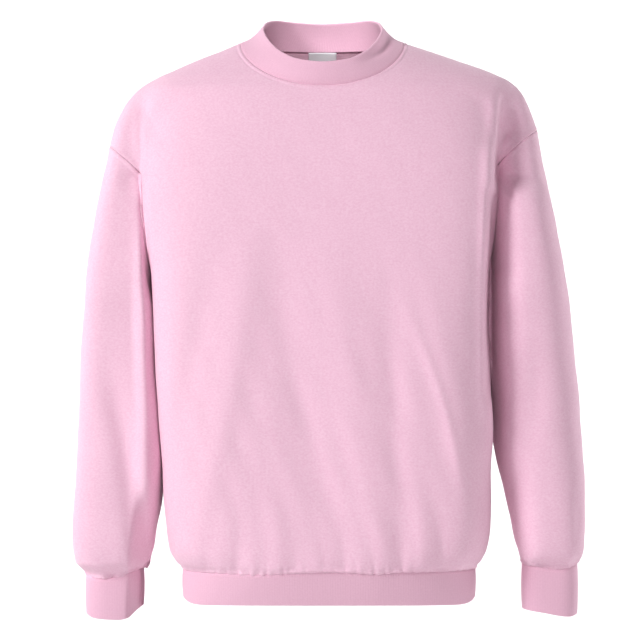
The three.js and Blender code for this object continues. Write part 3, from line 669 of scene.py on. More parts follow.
# %% Folds of the sleeves
SLEEVE_FOLDS = {
    ("right", "front"): rows(
        FOLD_COLUMNS,
        (-229, -612, -262, -400, 8, 10, 17, 6.5, "drag"),
        (-210, -590, -222, -470, 0, 8, 11, -3.0, "drag"),
        (-232, -650, -226, -585, 0, 6, 8, 5.0, "gather"),
        (-236, -650, -235, -600, 0, 3.5, 5, -2.2, "gather"),
        (-241, -650, -243, -612, 0, 3.5, 4, 1.8, "gather"),
        (-256, -652, -257, -632, 0, 4, 5, 3.6, "gather"),
        (-268, -652, -268, -626, 0, 5, 6, -2.0, "gather"),
        (-284, -650, -288, -628, 0, 5, 6, 4.6, "gather"),
        (-230, -190, -231, -156, 0, 11, 12, 3.0, "drag"),
        (-284, -560, -288, -400, 0, 16, 18, 1.8, "drag"),
        (-213, -540, -219, -180, 0, 9, 9, -10, "drag"),
    ),
    ("right", "back"): rows(
        FOLD_COLUMNS,
        (-250, -640, -244, -540, 4, 9, 15, 5.4, "gather"),
        (-272, -642, -276, -590, 0, 7, 10, 3.6, "gather"),
        (-232, -642, -226, -600, 0, 7, 9, -3.0, "gather"),
        (-232, -520, -262, -400, 5, 12, 16, 4.0, "drag"),
        (-226, -440, -254, -350, -4, 12, 15, 3.2, "drag"),
        (-240, -300, -226, -190, 0, 15, 17, 2.6, "drag"),
    ),
    ("left", "front"): rows(
        FOLD_COLUMNS,
        (302, -640, 305, -606, 0, 4, 5, 5.0, "gather"),
        (292, -640, 294, -612, 0, 5, 6, -1.8, "gather"),
        (303, -600, 303, -556, 0, 5, 6, 2.6, "drag"),
        (268, -640, 264, -608, 0, 7, 9, 1.8, "gather"),
        (250, -640, 247, -606, 0, 6, 8, -1.6, "gather"),
        (212, -150, 234, -170, 0, 2.8, 3, 1.4, "drag"),
        (212, -160, 230, -180, 0, 2.8, 3, -1.2, "drag"),
        (211, -168, 226, -190, 0, 2.8, 3, 1.2, "drag"),
        (210, -178, 222, -200, 0, 3, 3.4, -1.0, "drag"),
        (212, -210, 222, -165, 0, 9, 9, 4.0, "drag"),
        (208, -540, 206, -380, 0, 6, 7, 12, "drag"),
        (236, -520, 258, -350, 5, 16, 18, 2.0, "drag"),
    ),
    ("left", "back"): rows(
        FOLD_COLUMNS,
        (270, -630, 262, -540, -4, 9, 15, 5.0, "gather"),
        (290, -630, 294, -584, 0, 7, 10, 3.2, "gather"),
        (252, -630, 246, -590, 0, 7, 9, -2.8, "gather"),
        (244, -520, 272, -410, -4, 12, 16, 4.0, "drag"),
        (232, -430, 258, -340, 4, 12, 15, 3.0, "drag"),
        (226, -300, 240, -180, 0, 15, 17, 2.6, "drag"),
    ),
}

# Where a cuff has turned with the wrist, its edge and the sleeve above it fall back.
TURNED_CUFFS = {
    "right": rows(
        FOLD_COLUMNS,
        (-230, -700, -221, -520, 0, 24, 14, 28, "step"),
    ),
    "left": rows(
        FOLD_COLUMNS,
        (309, -705, 312, -560, 0, 7, 8, 5, "gather"),
    ),
}

# %% Build the two sleeves
AROUND, RINGS_ABOVE, RINGS_BELOW = 148, 46, 112
# The wearer's right sleeve leans on the body by this much, and is pressed flat there to this
# share of its depth, which closes the crease between them.
CREASE_CLOSED, PRESSED_DEPTH, PRESSED_SQUARE = 1.5, 0.9, 14


def sleeve_grid(name):
    side = SIDES[name]
    arm, out = side["arm"], side["out"]
    angle = 2 * np.pi * np.arange(AROUND) / AROUND
    level = (1 + np.cos(angle)) / 2
    in_front = angle < np.pi
    share = np.sin(np.pi / 2 * np.abs(1 - angle / np.pi))
    seam = {face: armhole_point(side, face, share) for face in FACING}
    seam_x = np.where(in_front, seam["front"][0], seam["back"][0])
    seam_z = np.where(in_front, seam["front"][1], seam["back"][1])
    width = arm["outer"](seam_z) - arm["inner"](seam_z)
    seam_across = np.maximum(0, (seam_x * out - arm["inner"](seam_z)) / width)
    fall = (np.linspace(0, 1, RINGS_ABOVE + 1) ** 1.3)[:, None]
    down = 1 - (1 - np.linspace(0, 1, RINGS_BELOW + 1)[1:, None]) ** 1.35
    end_x = out * mix(arm["inner"](side["seam"]), arm["outer"](side["seam"]), level)
    end_z = side["seam"] + CUFF_SEAM_LIFT[name](end_x)
    z = np.concatenate([mix(seam_z, SLEEVE_ROUND_Z, fall), mix(SLEEVE_ROUND_Z, end_z, down)])
    across = np.concatenate([
        mix(seam_across, level, fall),
        np.broadcast_to(level, (RINGS_BELOW, AROUND)),
    ])
    x = out * mix(arm["inner"](z), arm["outer"](z), across)
    grid = np.where(in_front[None, :, None], form_point("front", x, z), form_point("back", x, z))
    if name == "right":
        leaning = smooth((z + 545) / 50) * smooth((-286 - z) / 40)
        pressed = PRESSED_DEPTH * arm["depth"](z) * rounded(2 * across - 1, PRESSED_SQUARE)
        fuller = (np.abs(grid[..., 1]) ** 16 + pressed**16) ** (1 / 16)
        flattened = leaning * smooth((0.3 - across) / 0.1) * in_front
        grid[..., 1] = mix(grid[..., 1], -fuller, flattened)
        grid[..., 0] -= out * CREASE_CLOSED * (1 - across) ** 6 * leaning
    grid[..., 1] += arm["swing"](z)
    if out > 0:
        grid = grid[:, ::-1]
        in_front = in_front[::-1]
    grid = grid[::-1]  # from the cuff up
    return grid, in_front


def dressed_sleeve(name):
    grid, in_front = sleeve_grid(name)
    from_cuff, round_it = lengths_along(grid, 0), lengths_along(grid, 1)
    from_armhole = from_cuff[-1:] - from_cuff
    middle = SIDES[name]["arm"]["swing"](grid[..., 2])
    folded = {face: draw_in(grid.copy(), SLEEVE_FOLDS[name, face], middle) for face in FACING}
    folded = np.where(in_front[None, :, None], folded["front"], folded["back"])
    grid = mix(grid, folded, (smooth(from_cuff / 3) * smooth(from_armhole / 8))[..., None])
    grid = turn_back(grid, TURNED_CUFFS[name], middle)
    if name == "left":
        across_seam = draw_in(grid.copy(), FOLDS_ACROSS_THE_SEAM)
        grid = np.where(in_front[None, :, None], across_seam, grid)
    normal = normals_of(grid, ring=True)
    press = 0.6 * waver(round_it, grid[..., 2], 3 if name == "left" else 4)
    press *= smooth(from_cuff / 30) * smooth(from_armhole / 25)
    press += puckers(round_it, from_cuff, 2.1, pitch=9.5, height=1.0, reach=9)
    press += seam_dip(from_cuff) + seam_dip(from_armhole)
    return grid - normal * press[..., None]


sleeve_grids = {name: dressed_sleeve(name) for name in SIDES}
sleeves = {}
for name, grid in sleeve_grids.items():
    sleeves[name] = cloth_mesh(f"{name}_sleeve", grid, grain(closed(grid)), closed_rows=True)
    print(name, "sleeve", grid.shape[:2])

# %% [markdown]
# ## Ribbing
#
# The neckband, cuffs and waistband are one-by-one rib, knitted separately, folded in half and sewn
# on along both raw edges. The ribs are real relief, so they are modelled. A band is a closed
# cross-section, up the outside, over the rounded fold and down the inside, swept round a ring
# whose columns are evenly spaced, four to a rib.

# %% Sweep a ribbed band
RIBBING_MM, RIB_PITCH_MM, RIB_HEIGHT_MM = 2.6, 3.0, 0.18
COLUMNS_PER_RIB, LIP_ROWS, SEAM_COVER_MM = 4, 7, 2.5


def evenly(ring, count):
    """Shares of the way round a closed ring at which count points are evenly spaced."""
    at = lengths_along(np.concatenate([ring, ring[:1]]), 0)
    share = np.arange(len(ring) + 1) / len(ring)
    return np.interp(np.arange(count) * at[-1] / count, at, share), at[-1]


def ribbed_band(name, foot, head, outward, swell, rows_up, relief=0):
    """foot and head are the band's edges on its outside, as rings of points. The band is sewn
    on at the foot, and folded at the head. Its inside starts a little lower, over the seam."""
    count = len(foot)
    part = np.linspace(0, 1, rows_up)[:, None, None]
    bulge = swell * np.sin(np.pi * part[..., 0]) + relief
    outside = mix(foot, head, part) + outward * bulge[..., None]
    rise = (head - foot) / np.linalg.norm(head - foot, axis=-1, keepdims=True)
    radius = RIBBING_MM / 2
    turn = np.linspace(0, np.pi, LIP_ROWS + 2)[1:-1, None, None]
    lip_out = outward * np.cos(turn) + rise * np.sin(turn)
    lip = head - outward * radius + radius * lip_out
    over_seam = SEAM_COVER_MM / np.linalg.norm(head - foot, axis=-1, keepdims=True)
    inside = mix(foot, head, mix(-over_seam, 1, part))
    inside = (inside + outward * (bulge[..., None] - RIBBING_MM))[::-1]
    grid = np.concatenate([outside, lip, inside])
    rib = 0.5 - 0.5 * np.cos(2 * np.pi * np.arange(count) / COLUMNS_PER_RIB)
    out_of_cloth = np.concatenate([
        np.broadcast_to(outward, outside.shape),
        lip_out,
        np.broadcast_to(-outward, inside.shape),
    ])
    grid = grid - out_of_cloth * (RIB_HEIGHT_MM * rib)[None, :, None]
    u = (np.arange(count + 1) / COLUMNS_PER_RIB * RIB_PITCH_MM)[None, :]
    v = lengths_along(np.concatenate([grid[:, 0], grid[:1, 0]]), 0)[:, None]
    uv = np.stack(np.broadcast_arrays(u, v), axis=-1) * MM
    piece = cloth_mesh(name, grid, uv, closed_rows=True, closed_columns=True)
    print(name, count // COLUMNS_PER_RIB, "ribs,", grid.shape[:2])
    return piece, grid[:rows_up]


def whole_ribs(length):
    return COLUMNS_PER_RIB * round(length / RIB_PITCH_MM)


# %% [markdown]
# The neckband stands on the neck seam and leans in, lower at the front than at the back. By the
# wearer's left shoulder its folded edge has rolled outward a little, over a shallow groove.

# %% Neckband
NECKBAND_TOP = curves(rows(
    "angle x y z",
    (-22, -29, -80, -27),
    (0, 0, -85, -31),
    (22, 29, -80, -27),
    (45, 54, -63, -14),
    (68, 68, -38, 3),
    (90, 73, -11, 16),
    (112, 70, 16, 26),
    (135, 56, 40, 31),
    (158, 30, 54, 29.5),
    (180, 0, 58, 28),
    (202, -30, 54, 29.5),
), "angle")


def neck_seam(share):
    """The neck seam as a closed ring: 0 at the front, 0.5 at the back, by the wearer's left."""
    place = (np.asarray(share) % 1) * 4
    quarter = place.astype(int) % 4
    within = place - quarter
    point = np.zeros(place.shape + (3,))
    for k, (name, face, forward) in enumerate([
        ("left", "front", True), ("left", "back", False),
        ("right", "back", True), ("right", "front", False),
    ]):
        here = quarter == k
        x, z = neck_point(SIDES[name], face, within if forward else 1 - within)
        point = np.where(here[..., None], form_point(face, x, z), point)
    return point


def neckband_top(share):
    angle = 360 * np.minimum(share, 1 - share)
    way = np.where(share <= 0.5, 1, -1)
    x = NECK_CENTRE_X + way * NECKBAND_TOP["x"](angle)
    return np.stack([x, NECKBAND_TOP["y"](angle), NECKBAND_TOP["z"](angle)], axis=-1)


share = np.arange(1440) / 1440
_, neck_length = evenly(neck_seam(share), 4)
share, _ = evenly((neck_seam(share) + neckband_top(share)) / 2, whole_ribs(neck_length))
foot, head = neck_seam(share), neckband_top(share)
ahead = neckband_top((share + 0.004) % 1) - neckband_top((share - 0.004) % 1)
outward = np.cross(ahead, head - foot)
outward /= np.linalg.norm(outward, axis=-1, keepdims=True)
outward *= np.sign(np.einsum("ij,ij->i", outward, foot - [NECK_CENTRE_X, -10, -20]))[:, None]
swell = mix(1.6, -2.0, np.sin(2 * np.pi * share) ** 2)
degrees = (360 * share)[None, :]
up_the_band = np.linspace(0, 1, 20)[:, None]
groove = -4.4 * np.exp(-(((degrees - 62) / 26) ** 2) - ((up_the_band - 0.66) / 0.2) ** 2)
rolled_lip = 1.6 * np.exp(-(((degrees - 56) / 30) ** 2) - ((up_the_band - 1.0) / 0.14) ** 2)
neckband, neckband_grid = ribbed_band(
    "ribbed_neckband", foot, head, outward, swell, len(up_the_band), groove + rolled_lip
)

# %% [markdown]
# The waistband and the cuffs are level bands round a rounded section. The waistband's upper edge
# follows the gentle waves of the hem seam.


# %% Waistband and cuffs
def level_band(name, place, top_z, bottom_z, lifts, swell, rows_up, turned=(), middle=0.0):
    """lifts are the waves of its upper and of its lower edge."""
    ring = place(2 * np.pi * np.arange(2880) / 2880, top_z)
    _, length = evenly(ring, 4)
    share, _ = evenly(ring, whole_ribs(length))
    angle = 2 * np.pi * share
    edges = []
    for z, lift in zip((top_z, bottom_z + RIBBING_MM / 2), lifts):
        edge = place(angle, z)
        edge[:, 2] += lift(edge[:, 0])
        edges.append(turn_back(edge, turned, middle))
    foot, head = edges
    ahead = place(angle + 0.004, top_z) - place(angle - 0.004, top_z)
    outward = np.stack([ahead[:, 1], -ahead[:, 0], np.zeros(len(angle))], axis=-1)
    outward /= np.linalg.norm(outward, axis=-1, keepdims=True)
    return ribbed_band(name, foot, head, outward, swell, rows_up)


def around_waist(angle, z):
    z = np.full(angle.shape, float(z))
    half, sway = TORSO["half"](z), TORSO["sway"](z)
    depth = np.where(np.cos(angle) > 0, -TORSO["front"](z), TORSO["back"](z))
    return np.stack([
        sway + half * np.sin(angle),
        depth * rounded(np.sin(angle), TORSO["square"](z)),
        z,
    ], axis=-1)


def around_wrist(side):
    arm = side["arm"]

    def place(angle, z):
        z = np.full(angle.shape, float(z))
        inner, outer = arm["inner"](z), arm["outer"](z)
        depth = np.where(np.cos(angle) > 0, -1, 1) * arm["depth"](z)
        x = side["out"] * (inner + outer) / 2 + (outer - inner) / 2 * np.sin(angle)
        y = depth * rounded(np.sin(angle), arm["square"](z)) + arm["swing"](z)
        return np.stack([x, y, z], axis=-1)

    return place


waistband, waistband_grid = level_band(
    "ribbed_waistband", around_waist, HEM_SEAM_Z, HEM_Z, (HEM_LIFT, waistband_end_lift), 0.8, 18
)
cuffs, cuff_grids = {}, {}
for name, side in SIDES.items():
    cuffs[name], cuff_grids[name] = level_band(
        f"ribbed_{name}_cuff", around_wrist(side), side["seam"], side["end"],
        (CUFF_SEAM_LIFT[name], CUFF_END_LIFT[name]), 0.9, 22, TURNED_CUFFS[name],
        side["arm"]["swing"](side["seam"]),
    )

# %% [markdown]
# ## Neck label
#
# A woven satin label is sewn into the back of the neck seam. It is left bare.

# %% Neck label
LABEL_WIDTH, LABEL_LENGTH, LABEL_TOP_Z, LABEL_MM = 35, 44, -3.6, 0.8
across = np.linspace(0.5, -0.5, 25)[None, :]
down = np.linspace(1, 0, 31)[:, None]
label_x = NECK_CENTRE_X + LABEL_WIDTH * across + 0 * down
label_z = LABEL_TOP_Z - LABEL_LENGTH * down + 0 * across
label_grid = form_point("back", label_x, label_z)
stand_off = FLEECE_MM + mix(1.6, 0.9, (1 - down) ** 4) + 0.5 * np.sin(3.1 * across + 4 * down) ** 2
label_grid = label_grid - normals_of(label_grid) * stand_off[..., None]
neck_label = cloth_mesh("plain_neck_label", label_grid, grain(label_grid))
print("label", LABEL_WIDTH, "by", LABEL_LENGTH, "mm")

# %% [markdown]
# ## Thickness
#
# Solidify thickens a sheet inward and can give the inner side another material, which suits
# fleece: it is smooth outside and brushed inside.

# %% Give the sheets their thickness
fleece_pieces = [*panels.values(), *sleeves.values()]
for piece in (*fleece_pieces, neck_label):
    solidify = piece.modifiers.new("thickness", "SOLIDIFY")
    solidify.thickness = (LABEL_MM if piece is neck_label else FLEECE_MM) * MM
    solidify.offset = -1
    solidify.material_offset = 0 if piece is neck_label else 1
print("fleece", FLEECE_MM, "mm, label", LABEL_MM, "mm")

# %% [markdown]
# ## Stitching
#
# The seams at the neck, armholes, cuffs and hem are covered by a twin-needle stitch: two rows of
# short stitches, one on each side of the seam. Each stitch is a small bent thread that dives into
# the cloth at both ends, made as a tube with six sides. All the stitches of a seam are one mesh.

# %% Lines beside a seam, and a row of stitches along one
STITCH_LENGTH, STITCH_GAP, THREAD_RADIUS = 2.6, 0.5, 0.27


def line_beside(grid, distance, ring):
    """The line on a grid at a distance from its first row, with the cloth's normals there."""
    normal = normals_of(grid, ring)
    along = lengths_along(grid, 0)
    points, normals = [], []
    for i in range(grid.shape[1]):
        row = np.interp(distance, along[:, i], np.arange(len(along)))
        low = min(int(row), len(along) - 2)
        points.append(mix(grid[low, i], grid[low + 1, i], row - low))
        normals.append(mix(normal[low, i], normal[low + 1, i], row - low))
    return np.array(points), np.array(normals)


def stitch_row(points, normals, ring):
    """Rings of six points for every stitch along a line: stitches, rings, sides, xyz."""
    if ring:
        points, normals = (np.concatenate([line, line[:1]]) for line in (points, normals))
    at = lengths_along(points, 0)
    count = max(1, round(at[-1] / (STITCH_LENGTH + STITCH_GAP)))
    pitch = at[-1] / count
    step = np.linspace(0, 1, 6)
    start = np.arange(count)[:, None] * pitch + STITCH_GAP / 2
    place = (start + step * (pitch - STITCH_GAP)).ravel()
    read = lambda values: np.stack([np.interp(place, at, values[:, k]) for k in range(3)], axis=-1)
    centre, normal = read(points), read(normals)
    normal /= np.linalg.norm(normal, axis=-1, keepdims=True)
    ahead = np.gradient(centre, axis=0)
    side = np.cross(ahead, normal)
    side /= np.linalg.norm(side, axis=-1, keepdims=True)
    bend = np.tile(np.sin(np.pi * step), count)
    centre = centre + normal * (0.75 * bend - 0.42)[:, None] * THREAD_RADIUS * 2
    turn = 2 * np.pi * np.arange(6) / 6
    radius = THREAD_RADIUS * (0.55 + 0.45 * bend)[:, None, None]
    ring = centre[:, None] + radius * (
        side[:, None] * np.cos(turn)[None, :, None] + normal[:, None] * np.sin(turn)[None, :, None]
    )
    return ring.reshape(count, 6, 6, 3)


def stitching(name, lines):
    stitches = np.concatenate([stitch_row(*line) for line in lines])
    count = len(stitches)
    index = np.arange(count * 36).reshape(count, 6, 6)
    wrapped = np.concatenate([index, index[:, :, :1]], axis=2)
    here, there = wrapped[:, :-1], wrapped[:, 1:]
    sides = [here[..., :-1], there[..., :-1], there[..., 1:], here[..., 1:]]
    faces = np.stack(sides, axis=-1).reshape(-1, 4).tolist()
    faces += index[:, 0, :].tolist() + index[:, -1, ::-1].tolist()
    mesh = bpy.data.meshes.new(name)
    mesh.from_pydata((stitches.reshape(-1, 3) * MM).tolist(), [], faces)
    mesh.update()
    smooth_shaded(mesh)
    print(name, count, "stitches")
    return linked(name, mesh)


# %% [markdown]
# The lines are read from the finished grids, so the stitches sit on the folded cloth.

# %% Stitch the seams
BESIDE = {"neck": 2.9, "armhole": 2.3, "cuff": 2.4, "cuff_rib": 2.6, "hem": 2.4, "hem_rib": 2.8}


def panel_top_line(face, distance, first, last):
    points, normals = line_beside(panel_grids[face][::-1], distance, False)
    return points[first:last], -normals[first:last], False


def panel_side_line(face, distance, from_end):
    grid = panel_grids[face][ROWS_BELOW + 1 :]
    if from_end:
        grid = grid[:, ::-1]
    points, normals = line_beside(np.swapaxes(grid, 0, 1), distance, False)
    return points, normals if from_end else -normals, False


def line_below(grid, distance):
    """On a ring whose rows run downward, so that its normals point inward."""
    points, normals = line_beside(grid, distance, True)
    return points, -normals, True


neck_columns = round(NECK_SHARE * HALF_COLUMNS)
neck_from, neck_to = HALF_COLUMNS - neck_columns, HALF_COLUMNS + neck_columns + 1
neck_lines = [panel_top_line(face, BESIDE["neck"], neck_from, neck_to) for face in FACING]
points, _ = line_beside(neckband_grid, BESIDE["neck"], True)
neck_lines.append((points, outward, True))
stitches = [stitching("neck_stitching", neck_lines)]

for name, side in SIDES.items():
    lines = [
        panel_side_line(face, BESIDE["armhole"], (name == "left") == (face == "front"))
        for face in FACING
    ]
    lines.append(line_below(sleeve_grids[name][::-1], BESIDE["armhole"]))
    stitches.append(stitching(f"{name}_armhole_stitching", lines))
    stitches.append(stitching(f"{name}_cuff_stitching", [
        (*line_beside(sleeve_grids[name], BESIDE["cuff"], True), True),
        line_below(cuff_grids[name], BESIDE["cuff_rib"]),
    ]))

stitches.append(stitching("hem_stitching", [
    *((*line_beside(grid, BESIDE["hem"], False), False) for grid in panel_grids.values()),
    line_below(waistband_grid, BESIDE["hem_rib"]),
]))

# %% [markdown]
# ## Materials
#
# One small function adds a node with its settings and links. Colours are written as sRGB hex
# values, as a dyer's swatch would be read from a screen, and another function makes them linear.


# %% Material helpers
def linear(hex_colour):
    """An sRGB hex value as linear RGBA."""
    parts = [int(hex_colour[i : i + 2], 16) / 255 for i in (1, 3, 5)]
    return [c / 12.92 if c <= 0.04045 else ((c + 0.055) / 1.055) ** 2.4 for c in parts] + [1.0]


def add_node(tree, kind, settings=None, **links):
    """Adds a node. settings are its properties, and links are values or sockets by input name,
    with _ for a space, or by input number after an n."""
    node = tree.nodes.new(kind)
    for key, value in (settings or {}).items():
        setattr(node, key, value)
    for key, value in links.items():
        socket = node.inputs[int(key[1:]) if key[1:].isdigit() else key.replace("_", " ")]
        if isinstance(value, bpy.types.NodeSocket):
            tree.links.new(value, socket)
        else:
            socket.default_value = value
    return node


def new_material(name, **constants):
    material = bpy.data.materials.new(name)
    material.use_nodes = True
    shader = material.node_tree.nodes["Principled BSDF"]
    for key, value in constants.items():
        shader.inputs[key.replace("_", " ")].default_value = value
    return material, material.node_tree, shader


def math_node(tree, operation, a, b=0.0):
    return add_node(tree, "ShaderNodeMath", {"operation": operation}, n0=a, n1=b).outputs[0]


def cloth_uv(tree):
    return add_node(tree, "ShaderNodeUVMap", {"uv_map": "cloth"}).outputs[0]


def colour_between(tree, shader, share, low, high):
    """Sets a shader's base colour to a mix of two hex colours."""
    blend = add_node(
        tree, "ShaderNodeMix", {"data_type": "RGBA"}, n0=share, n6=linear(low), n7=linear(high)
    )
    tree.links.new(blend.outputs[2], shader.inputs["Base Color"])


def bumps(tree, shader, height, strength, distance_mm):
    bump = add_node(
        tree, "ShaderNodeBump", Strength=strength, Distance=distance_mm * MM, Height=height
    )
    tree.links.new(bump.outputs[0], shader.inputs["Normal"])


# %% [markdown]
# ### Sweatshirt fleece
#
# The outside of sweatshirt fleece is a plain cotton and polyester jersey: upright rows of small
# V-shaped loops, about 1 mm wide, that a matt, faintly hairy surface half hides. The fibres
# scatter light softly, so the cloth has a high roughness, a low gloss and a little sheen. The
# rows are drawn 1.6 mm wide, since 1 mm would be lost in the render.

# %% Fleece, outside
# The fleece is mixed between these two colours by a random heather tone, and by painted shade that
# darkens the grooves between the rows of loops.
PINK = "#F5CADE"
DEEP_PINK = "#EDBAD2"
WALE_MM, COURSE_MM = 1.6, 1.3


def knit_relief(tree, wale, course):
    """Height of jersey loops and the share of a row of loops, from the cloth's own UV."""
    uv = cloth_uv(tree)
    parts = add_node(tree, "ShaderNodeSeparateXYZ", n0=uv)
    across = math_node(tree, "MULTIPLY", parts.outputs[0], 1000 / wale)
    along = math_node(tree, "MULTIPLY", parts.outputs[1], 1000 / course)
    slant = math_node(tree, "PINGPONG", across, 0.5)
    turns = math_node(tree, "ADD", along, math_node(tree, "MULTIPLY", slant, -1.6))
    leg = math_node(tree, "SINE", math_node(tree, "MULTIPLY", turns, 2 * math.pi))
    row = math_node(tree, "SINE", math_node(tree, "MULTIPLY", across, math.pi))
    row = math_node(tree, "ABSOLUTE", row)
    lifted = math_node(tree, "ADD", math_node(tree, "MULTIPLY", leg, 0.35), 0.65)
    return math_node(tree, "MULTIPLY", row, lifted), row, uv


def fleece_material(name):
    material, tree, shader = new_material(
        name, Roughness=0.92, Specular_IOR_Level=0.25, Sheen_Weight=0.25, Sheen_Roughness=0.6
    )
    relief, row, uv = knit_relief(tree, WALE_MM, COURSE_MM)
    stretched = add_node(tree, "ShaderNodeMapping", n0=uv, Scale=(210, 420, 1))
    streaks = add_node(
        tree, "ShaderNodeTexNoise", Vector=stretched.outputs[0], Scale=1.0, Detail=3.0
    )
    fibres = add_node(tree, "ShaderNodeTexNoise", Vector=uv, Scale=1900.0, Detail=2.0)
    place = add_node(tree, "ShaderNodeTexCoord").outputs["Object"]
    grains = add_node(tree, "ShaderNodeMapping", n0=place, Scale=(380, 380, 560))
    grains = add_node(tree, "ShaderNodeTexNoise", Vector=grains.outputs[0], Scale=1.0, Detail=2.0)
    mottle = math_node(tree, "ADD", math_node(tree, "MULTIPLY", grains.outputs[0], 2.2), -1.1)
    streak = math_node(tree, "MULTIPLY", streaks.outputs[0], 0.9)
    mottle = math_node(tree, "ADD", streak, mottle)
    # painted shade: the row term darkens the grooves between the rows of loops; the mottle is the
    # cloth's own random tone
    shade = math_node(tree, "ADD", math_node(tree, "MULTIPLY", row, 0.12), mottle)
    colour_between(tree, shader, shade, DEEP_PINK, PINK)
    height = math_node(tree, "ADD", relief, math_node(tree, "MULTIPLY", fibres.outputs[0], 0.6))
    bumps(tree, shader, height, 0.22, 0.4)
    return material


fleece_outside = fleece_material("piece_dyed_jersey_face_fleece")
print("fleece colour, linear:", [round(c, 3) for c in linear(PINK)])

# %% [markdown]
# ### Brushed inside
#
# Inside, the fleece is brushed into a low soft pile. It has no rows, only a fine, clumped nap.

# %% Fleece, inside
fleece_inside, tree, shader = new_material(
    "brushed_fleece_pile",
    Roughness=1.0, Specular_IOR_Level=0.15, Sheen_Weight=0.5, Sheen_Roughness=0.7,
)
clumps = add_node(
    tree, "ShaderNodeTexNoise", Vector=cloth_uv(tree), Scale=260.0, Detail=5.0, Roughness=0.65
)
colour_between(tree, shader, clumps.outputs[0], "#E3A6C1", "#F2C2D6")
bumps(tree, shader, clumps.outputs[0], 0.7, 1.2)
print("made", fleece_inside.name)

# %% [markdown]
# ### Ribbing
#
# The ribs are in the mesh. The material adds the courses that cross them, 1.2 mm apart, and
# painted shade: a slightly darker colour in the furrows between the ribs, lighter on their crests.

# %% Ribbing
RIB_COURSE_MM = 1.2

ribbing, tree, shader = new_material(
    "one_by_one_cotton_rib",
    Roughness=0.9, Specular_IOR_Level=0.25, Sheen_Weight=0.2, Sheen_Roughness=0.6,
)
uv = cloth_uv(tree)
parts = add_node(tree, "ShaderNodeSeparateXYZ", n0=uv)
turns = math_node(tree, "MULTIPLY", parts.outputs[0], 2 * math.pi * 1000 / RIB_PITCH_MM)
# painted shade: lighter colour on the rib crests, darker in the furrows between them
painted_rib_shade = math_node(tree, "ADD", math_node(tree, "COSINE", turns), 1.0)
courses = math_node(tree, "MULTIPLY", parts.outputs[1], 2 * math.pi * 1000 / RIB_COURSE_MM)
course = math_node(tree, "MULTIPLY", math_node(tree, "SINE", courses), 0.25)
mottle = add_node(tree, "ShaderNodeTexNoise", Vector=uv, Scale=420.0, Detail=3.0).outputs[0]
painted_rib_shade = math_node(tree, "MULTIPLY", painted_rib_shade, 0.075)
# the mix is painted rib shade plus the rib's own random mottle
shade = math_node(tree, "ADD", painted_rib_shade, math_node(tree, "MULTIPLY", mottle, 1.1))
colour_between(tree, shader, shade, "#E3ADC6", "#EEBFD4")
height = math_node(tree, "ADD", course, math_node(tree, "MULTIPLY", mottle, 0.5))
bumps(tree, shader, height, 0.35, 0.4)
print("made", ribbing.name)

# %% [markdown]
# ### Thread and label
#
# The stitching is spun polyester thread, dyed to match and a little glossier than the cloth. The
# label is white satin, smooth across with a fine weave.

# %% Thread and label
thread, tree, shader = new_material(
    "spun_polyester_thread", Roughness=0.6, Specular_IOR_Level=0.4, Sheen_Weight=0.1
)
place = add_node(tree, "ShaderNodeTexCoord").outputs["Object"]
plies = add_node(tree, "ShaderNodeTexNoise", Vector=place, Scale=2400.0, Detail=1.0)
colour_between(tree, shader, plies.outputs[0], "#EEB6CE", "#F9CEE0")

satin, tree, shader = new_material(
    "woven_satin_label", Roughness=0.45, Specular_IOR_Level=0.5, Sheen_Weight=0.1
)
weft = add_node(
    tree, "ShaderNodeTexWave", {"bands_direction": "Y"},
    Vector=cloth_uv(tree), Scale=320.0, Distortion=0.4,
)
colour_between(tree, shader, weft.outputs[1], "#E9EBF0", "#FAFAFC")
bumps(tree, shader, weft.outputs[1], 0.25, 0.2)
print("made", thread.name, "and", satin.name)

# %% Dress the pieces
ribbed_pieces = [neckband, waistband, *cuffs.values()]
for piece in fleece_pieces:
    piece.data.materials.append(fleece_outside)
    piece.data.materials.append(fleece_inside)
for piece in ribbed_pieces:
    piece.data.materials.append(ribbing)
for piece in stitches:
    piece.data.materials.append(thread)
neck_label.data.materials.append(satin)

# %% [markdown]
# ## Tie the pieces to the CAD model
#
# Each piece of cloth stands for the CAD solid of the same pattern piece. The garment has one
# body, because cloth has no joints. The flat size of each cut is printed.

# %% Replace, ride and print the flat sizes
REPLACES = {
    panels["front"]: "front_panel",
    panels["back"]: "back_panel",
    sleeves["left"]: "sleeve_left",
    sleeves["right"]: "sleeve_right",
    neckband: "neckband",
    waistband: "waistband",
    cuffs["left"]: "cuff_left",
    cuffs["right"]: "cuff_right",
    neck_label: "neck_label",
}
for piece, node in REPLACES.items():
    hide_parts(node)
for piece in (*REPLACES, *stitches):
    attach(piece, "root")


def flat_size(grid):
    """Longest row and column of a grid, and its area, in metres and square metres."""
    longest = lengths_along(grid, 1)[:, -1].max(), lengths_along(grid, 0)[-1].max()
    return tuple(round(float(size) * MM, 4) for size in longest), round(area_of(grid), 4)


cut = [(panels[face], panel_grids[face]) for face in FACING]
cut += [(sleeves[name], closed(sleeve_grids[name])) for name in SIDES]
cut += [(neckband, closed(neckband_grid)), (waistband, closed(waistband_grid))]
cut += [(cuffs[name], closed(cuff_grids[name])) for name in SIDES]
cut += [(neck_label, label_grid)]
for piece, grid in cut:
    flat, area = flat_size(grid)
    print(f"{piece.name}: {flat[0]:.3f} by {flat[1]:.3f} m, {area:.3f} m2")

# %% [markdown]
# ## Studio
#
# One large soft light stands high on the viewer's left and models the folds. A weak one from the
# right and one low in front open the shade, and two more make the sweep behind pure white. A
# narrow spot lights the inside of the collar. The floor lies where the wearer would stand.

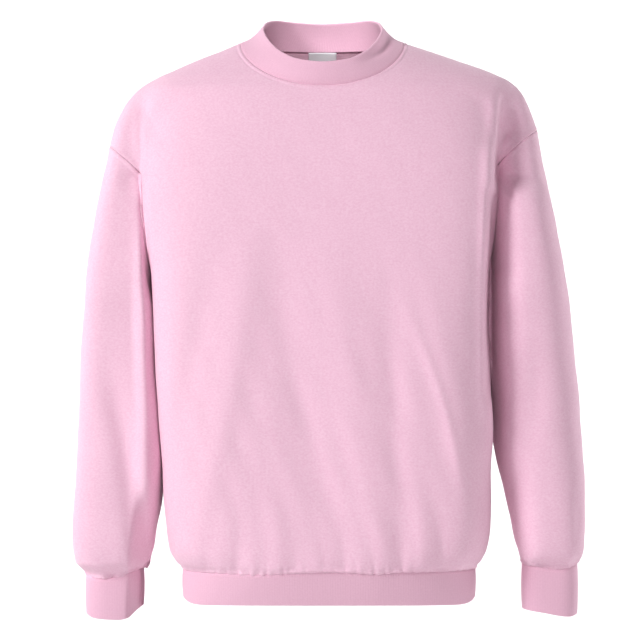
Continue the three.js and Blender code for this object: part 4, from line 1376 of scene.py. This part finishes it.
# %% Floor and backdrop
FLOOR_Z, BACKDROP_Y, BEND = -1.42, 4.6, 0.9
profile = [(-5.2, FLOOR_Z)]
for a in np.linspace(math.pi / 2, 0, 13):
    profile.append((BACKDROP_Y - BEND + BEND * math.cos(a), FLOOR_Z + BEND - BEND * math.sin(a)))
profile.append((BACKDROP_Y, 4.0))
vertices = [(x, y, z) for y, z in profile for x in (-7.0, 7.0)]
faces = [(2 * i, 2 * i + 1, 2 * i + 3, 2 * i + 2) for i in range(len(profile) - 1)]
sweep_mesh = bpy.data.meshes.new("white_sweep")
sweep_mesh.from_pydata(vertices, [], faces)
smooth_shaded(sweep_mesh)
sweep = linked("white_sweep", sweep_mesh)
paper, tree, shader = new_material("white_background_paper", Roughness=0.95, Specular_IOR_Level=0.1)
shader.inputs["Base Color"].default_value = linear("#EBEBEB")
sweep_mesh.materials.append(paper)
print("sweep of", len(profile), "lines")


# %% Lights
def aimed(name, data, place, target):
    """A light at a place that points at a target."""
    light = linked(name, data)
    light.location = place
    way = np.array(target) - np.array(place)
    tilt = math.acos(-way[2] / np.linalg.norm(way))
    light.rotation_euler = tilt, 0, math.atan2(way[1], way[0]) - math.pi / 2


def soft_light(name, place, target, size, watts):
    data = bpy.data.lights.new(name, "AREA")
    data.shape, data.size, data.energy = "DISK", size, watts
    aimed(name, data, place, target)


CENTRE = (0, 0, -0.35)
soft_light("key", (-3.2, -2.4, 1.8), CENTRE, 1.5, 170)
soft_light("right_fill", (4.0, -0.2, 0.2), CENTRE, 2.0, 42)
soft_light("front_fill", (0.2, -4.2, -0.2), CENTRE, 1.8, 26)
for name, x in (("background_left", -3.2), ("background_right", 3.2)):
    soft_light(name, (x, 2.4, 1.2), (0, BACKDROP_Y, -0.3), 1.8, 130)
collar_data = bpy.data.lights.new("collar_light", "SPOT")
collar_data.energy, collar_data.spot_size, collar_data.spot_blend = 150, math.radians(3.4), 0.7
collar_data.shadow_soft_size = 0.02
aimed("collar_light", collar_data, (0.1, -2.6, 0.8), (0, 0.058, 0.012))
world = bpy.data.worlds.new("studio")
world.use_nodes = True
background = world.node_tree.nodes["Background"]
background.inputs[0].default_value = (1, 1, 1, 1)
background.inputs[1].default_value = 0.16
bpy.context.scene.world = world
bpy.context.scene.view_settings.view_transform = "Standard"
print("lights set")
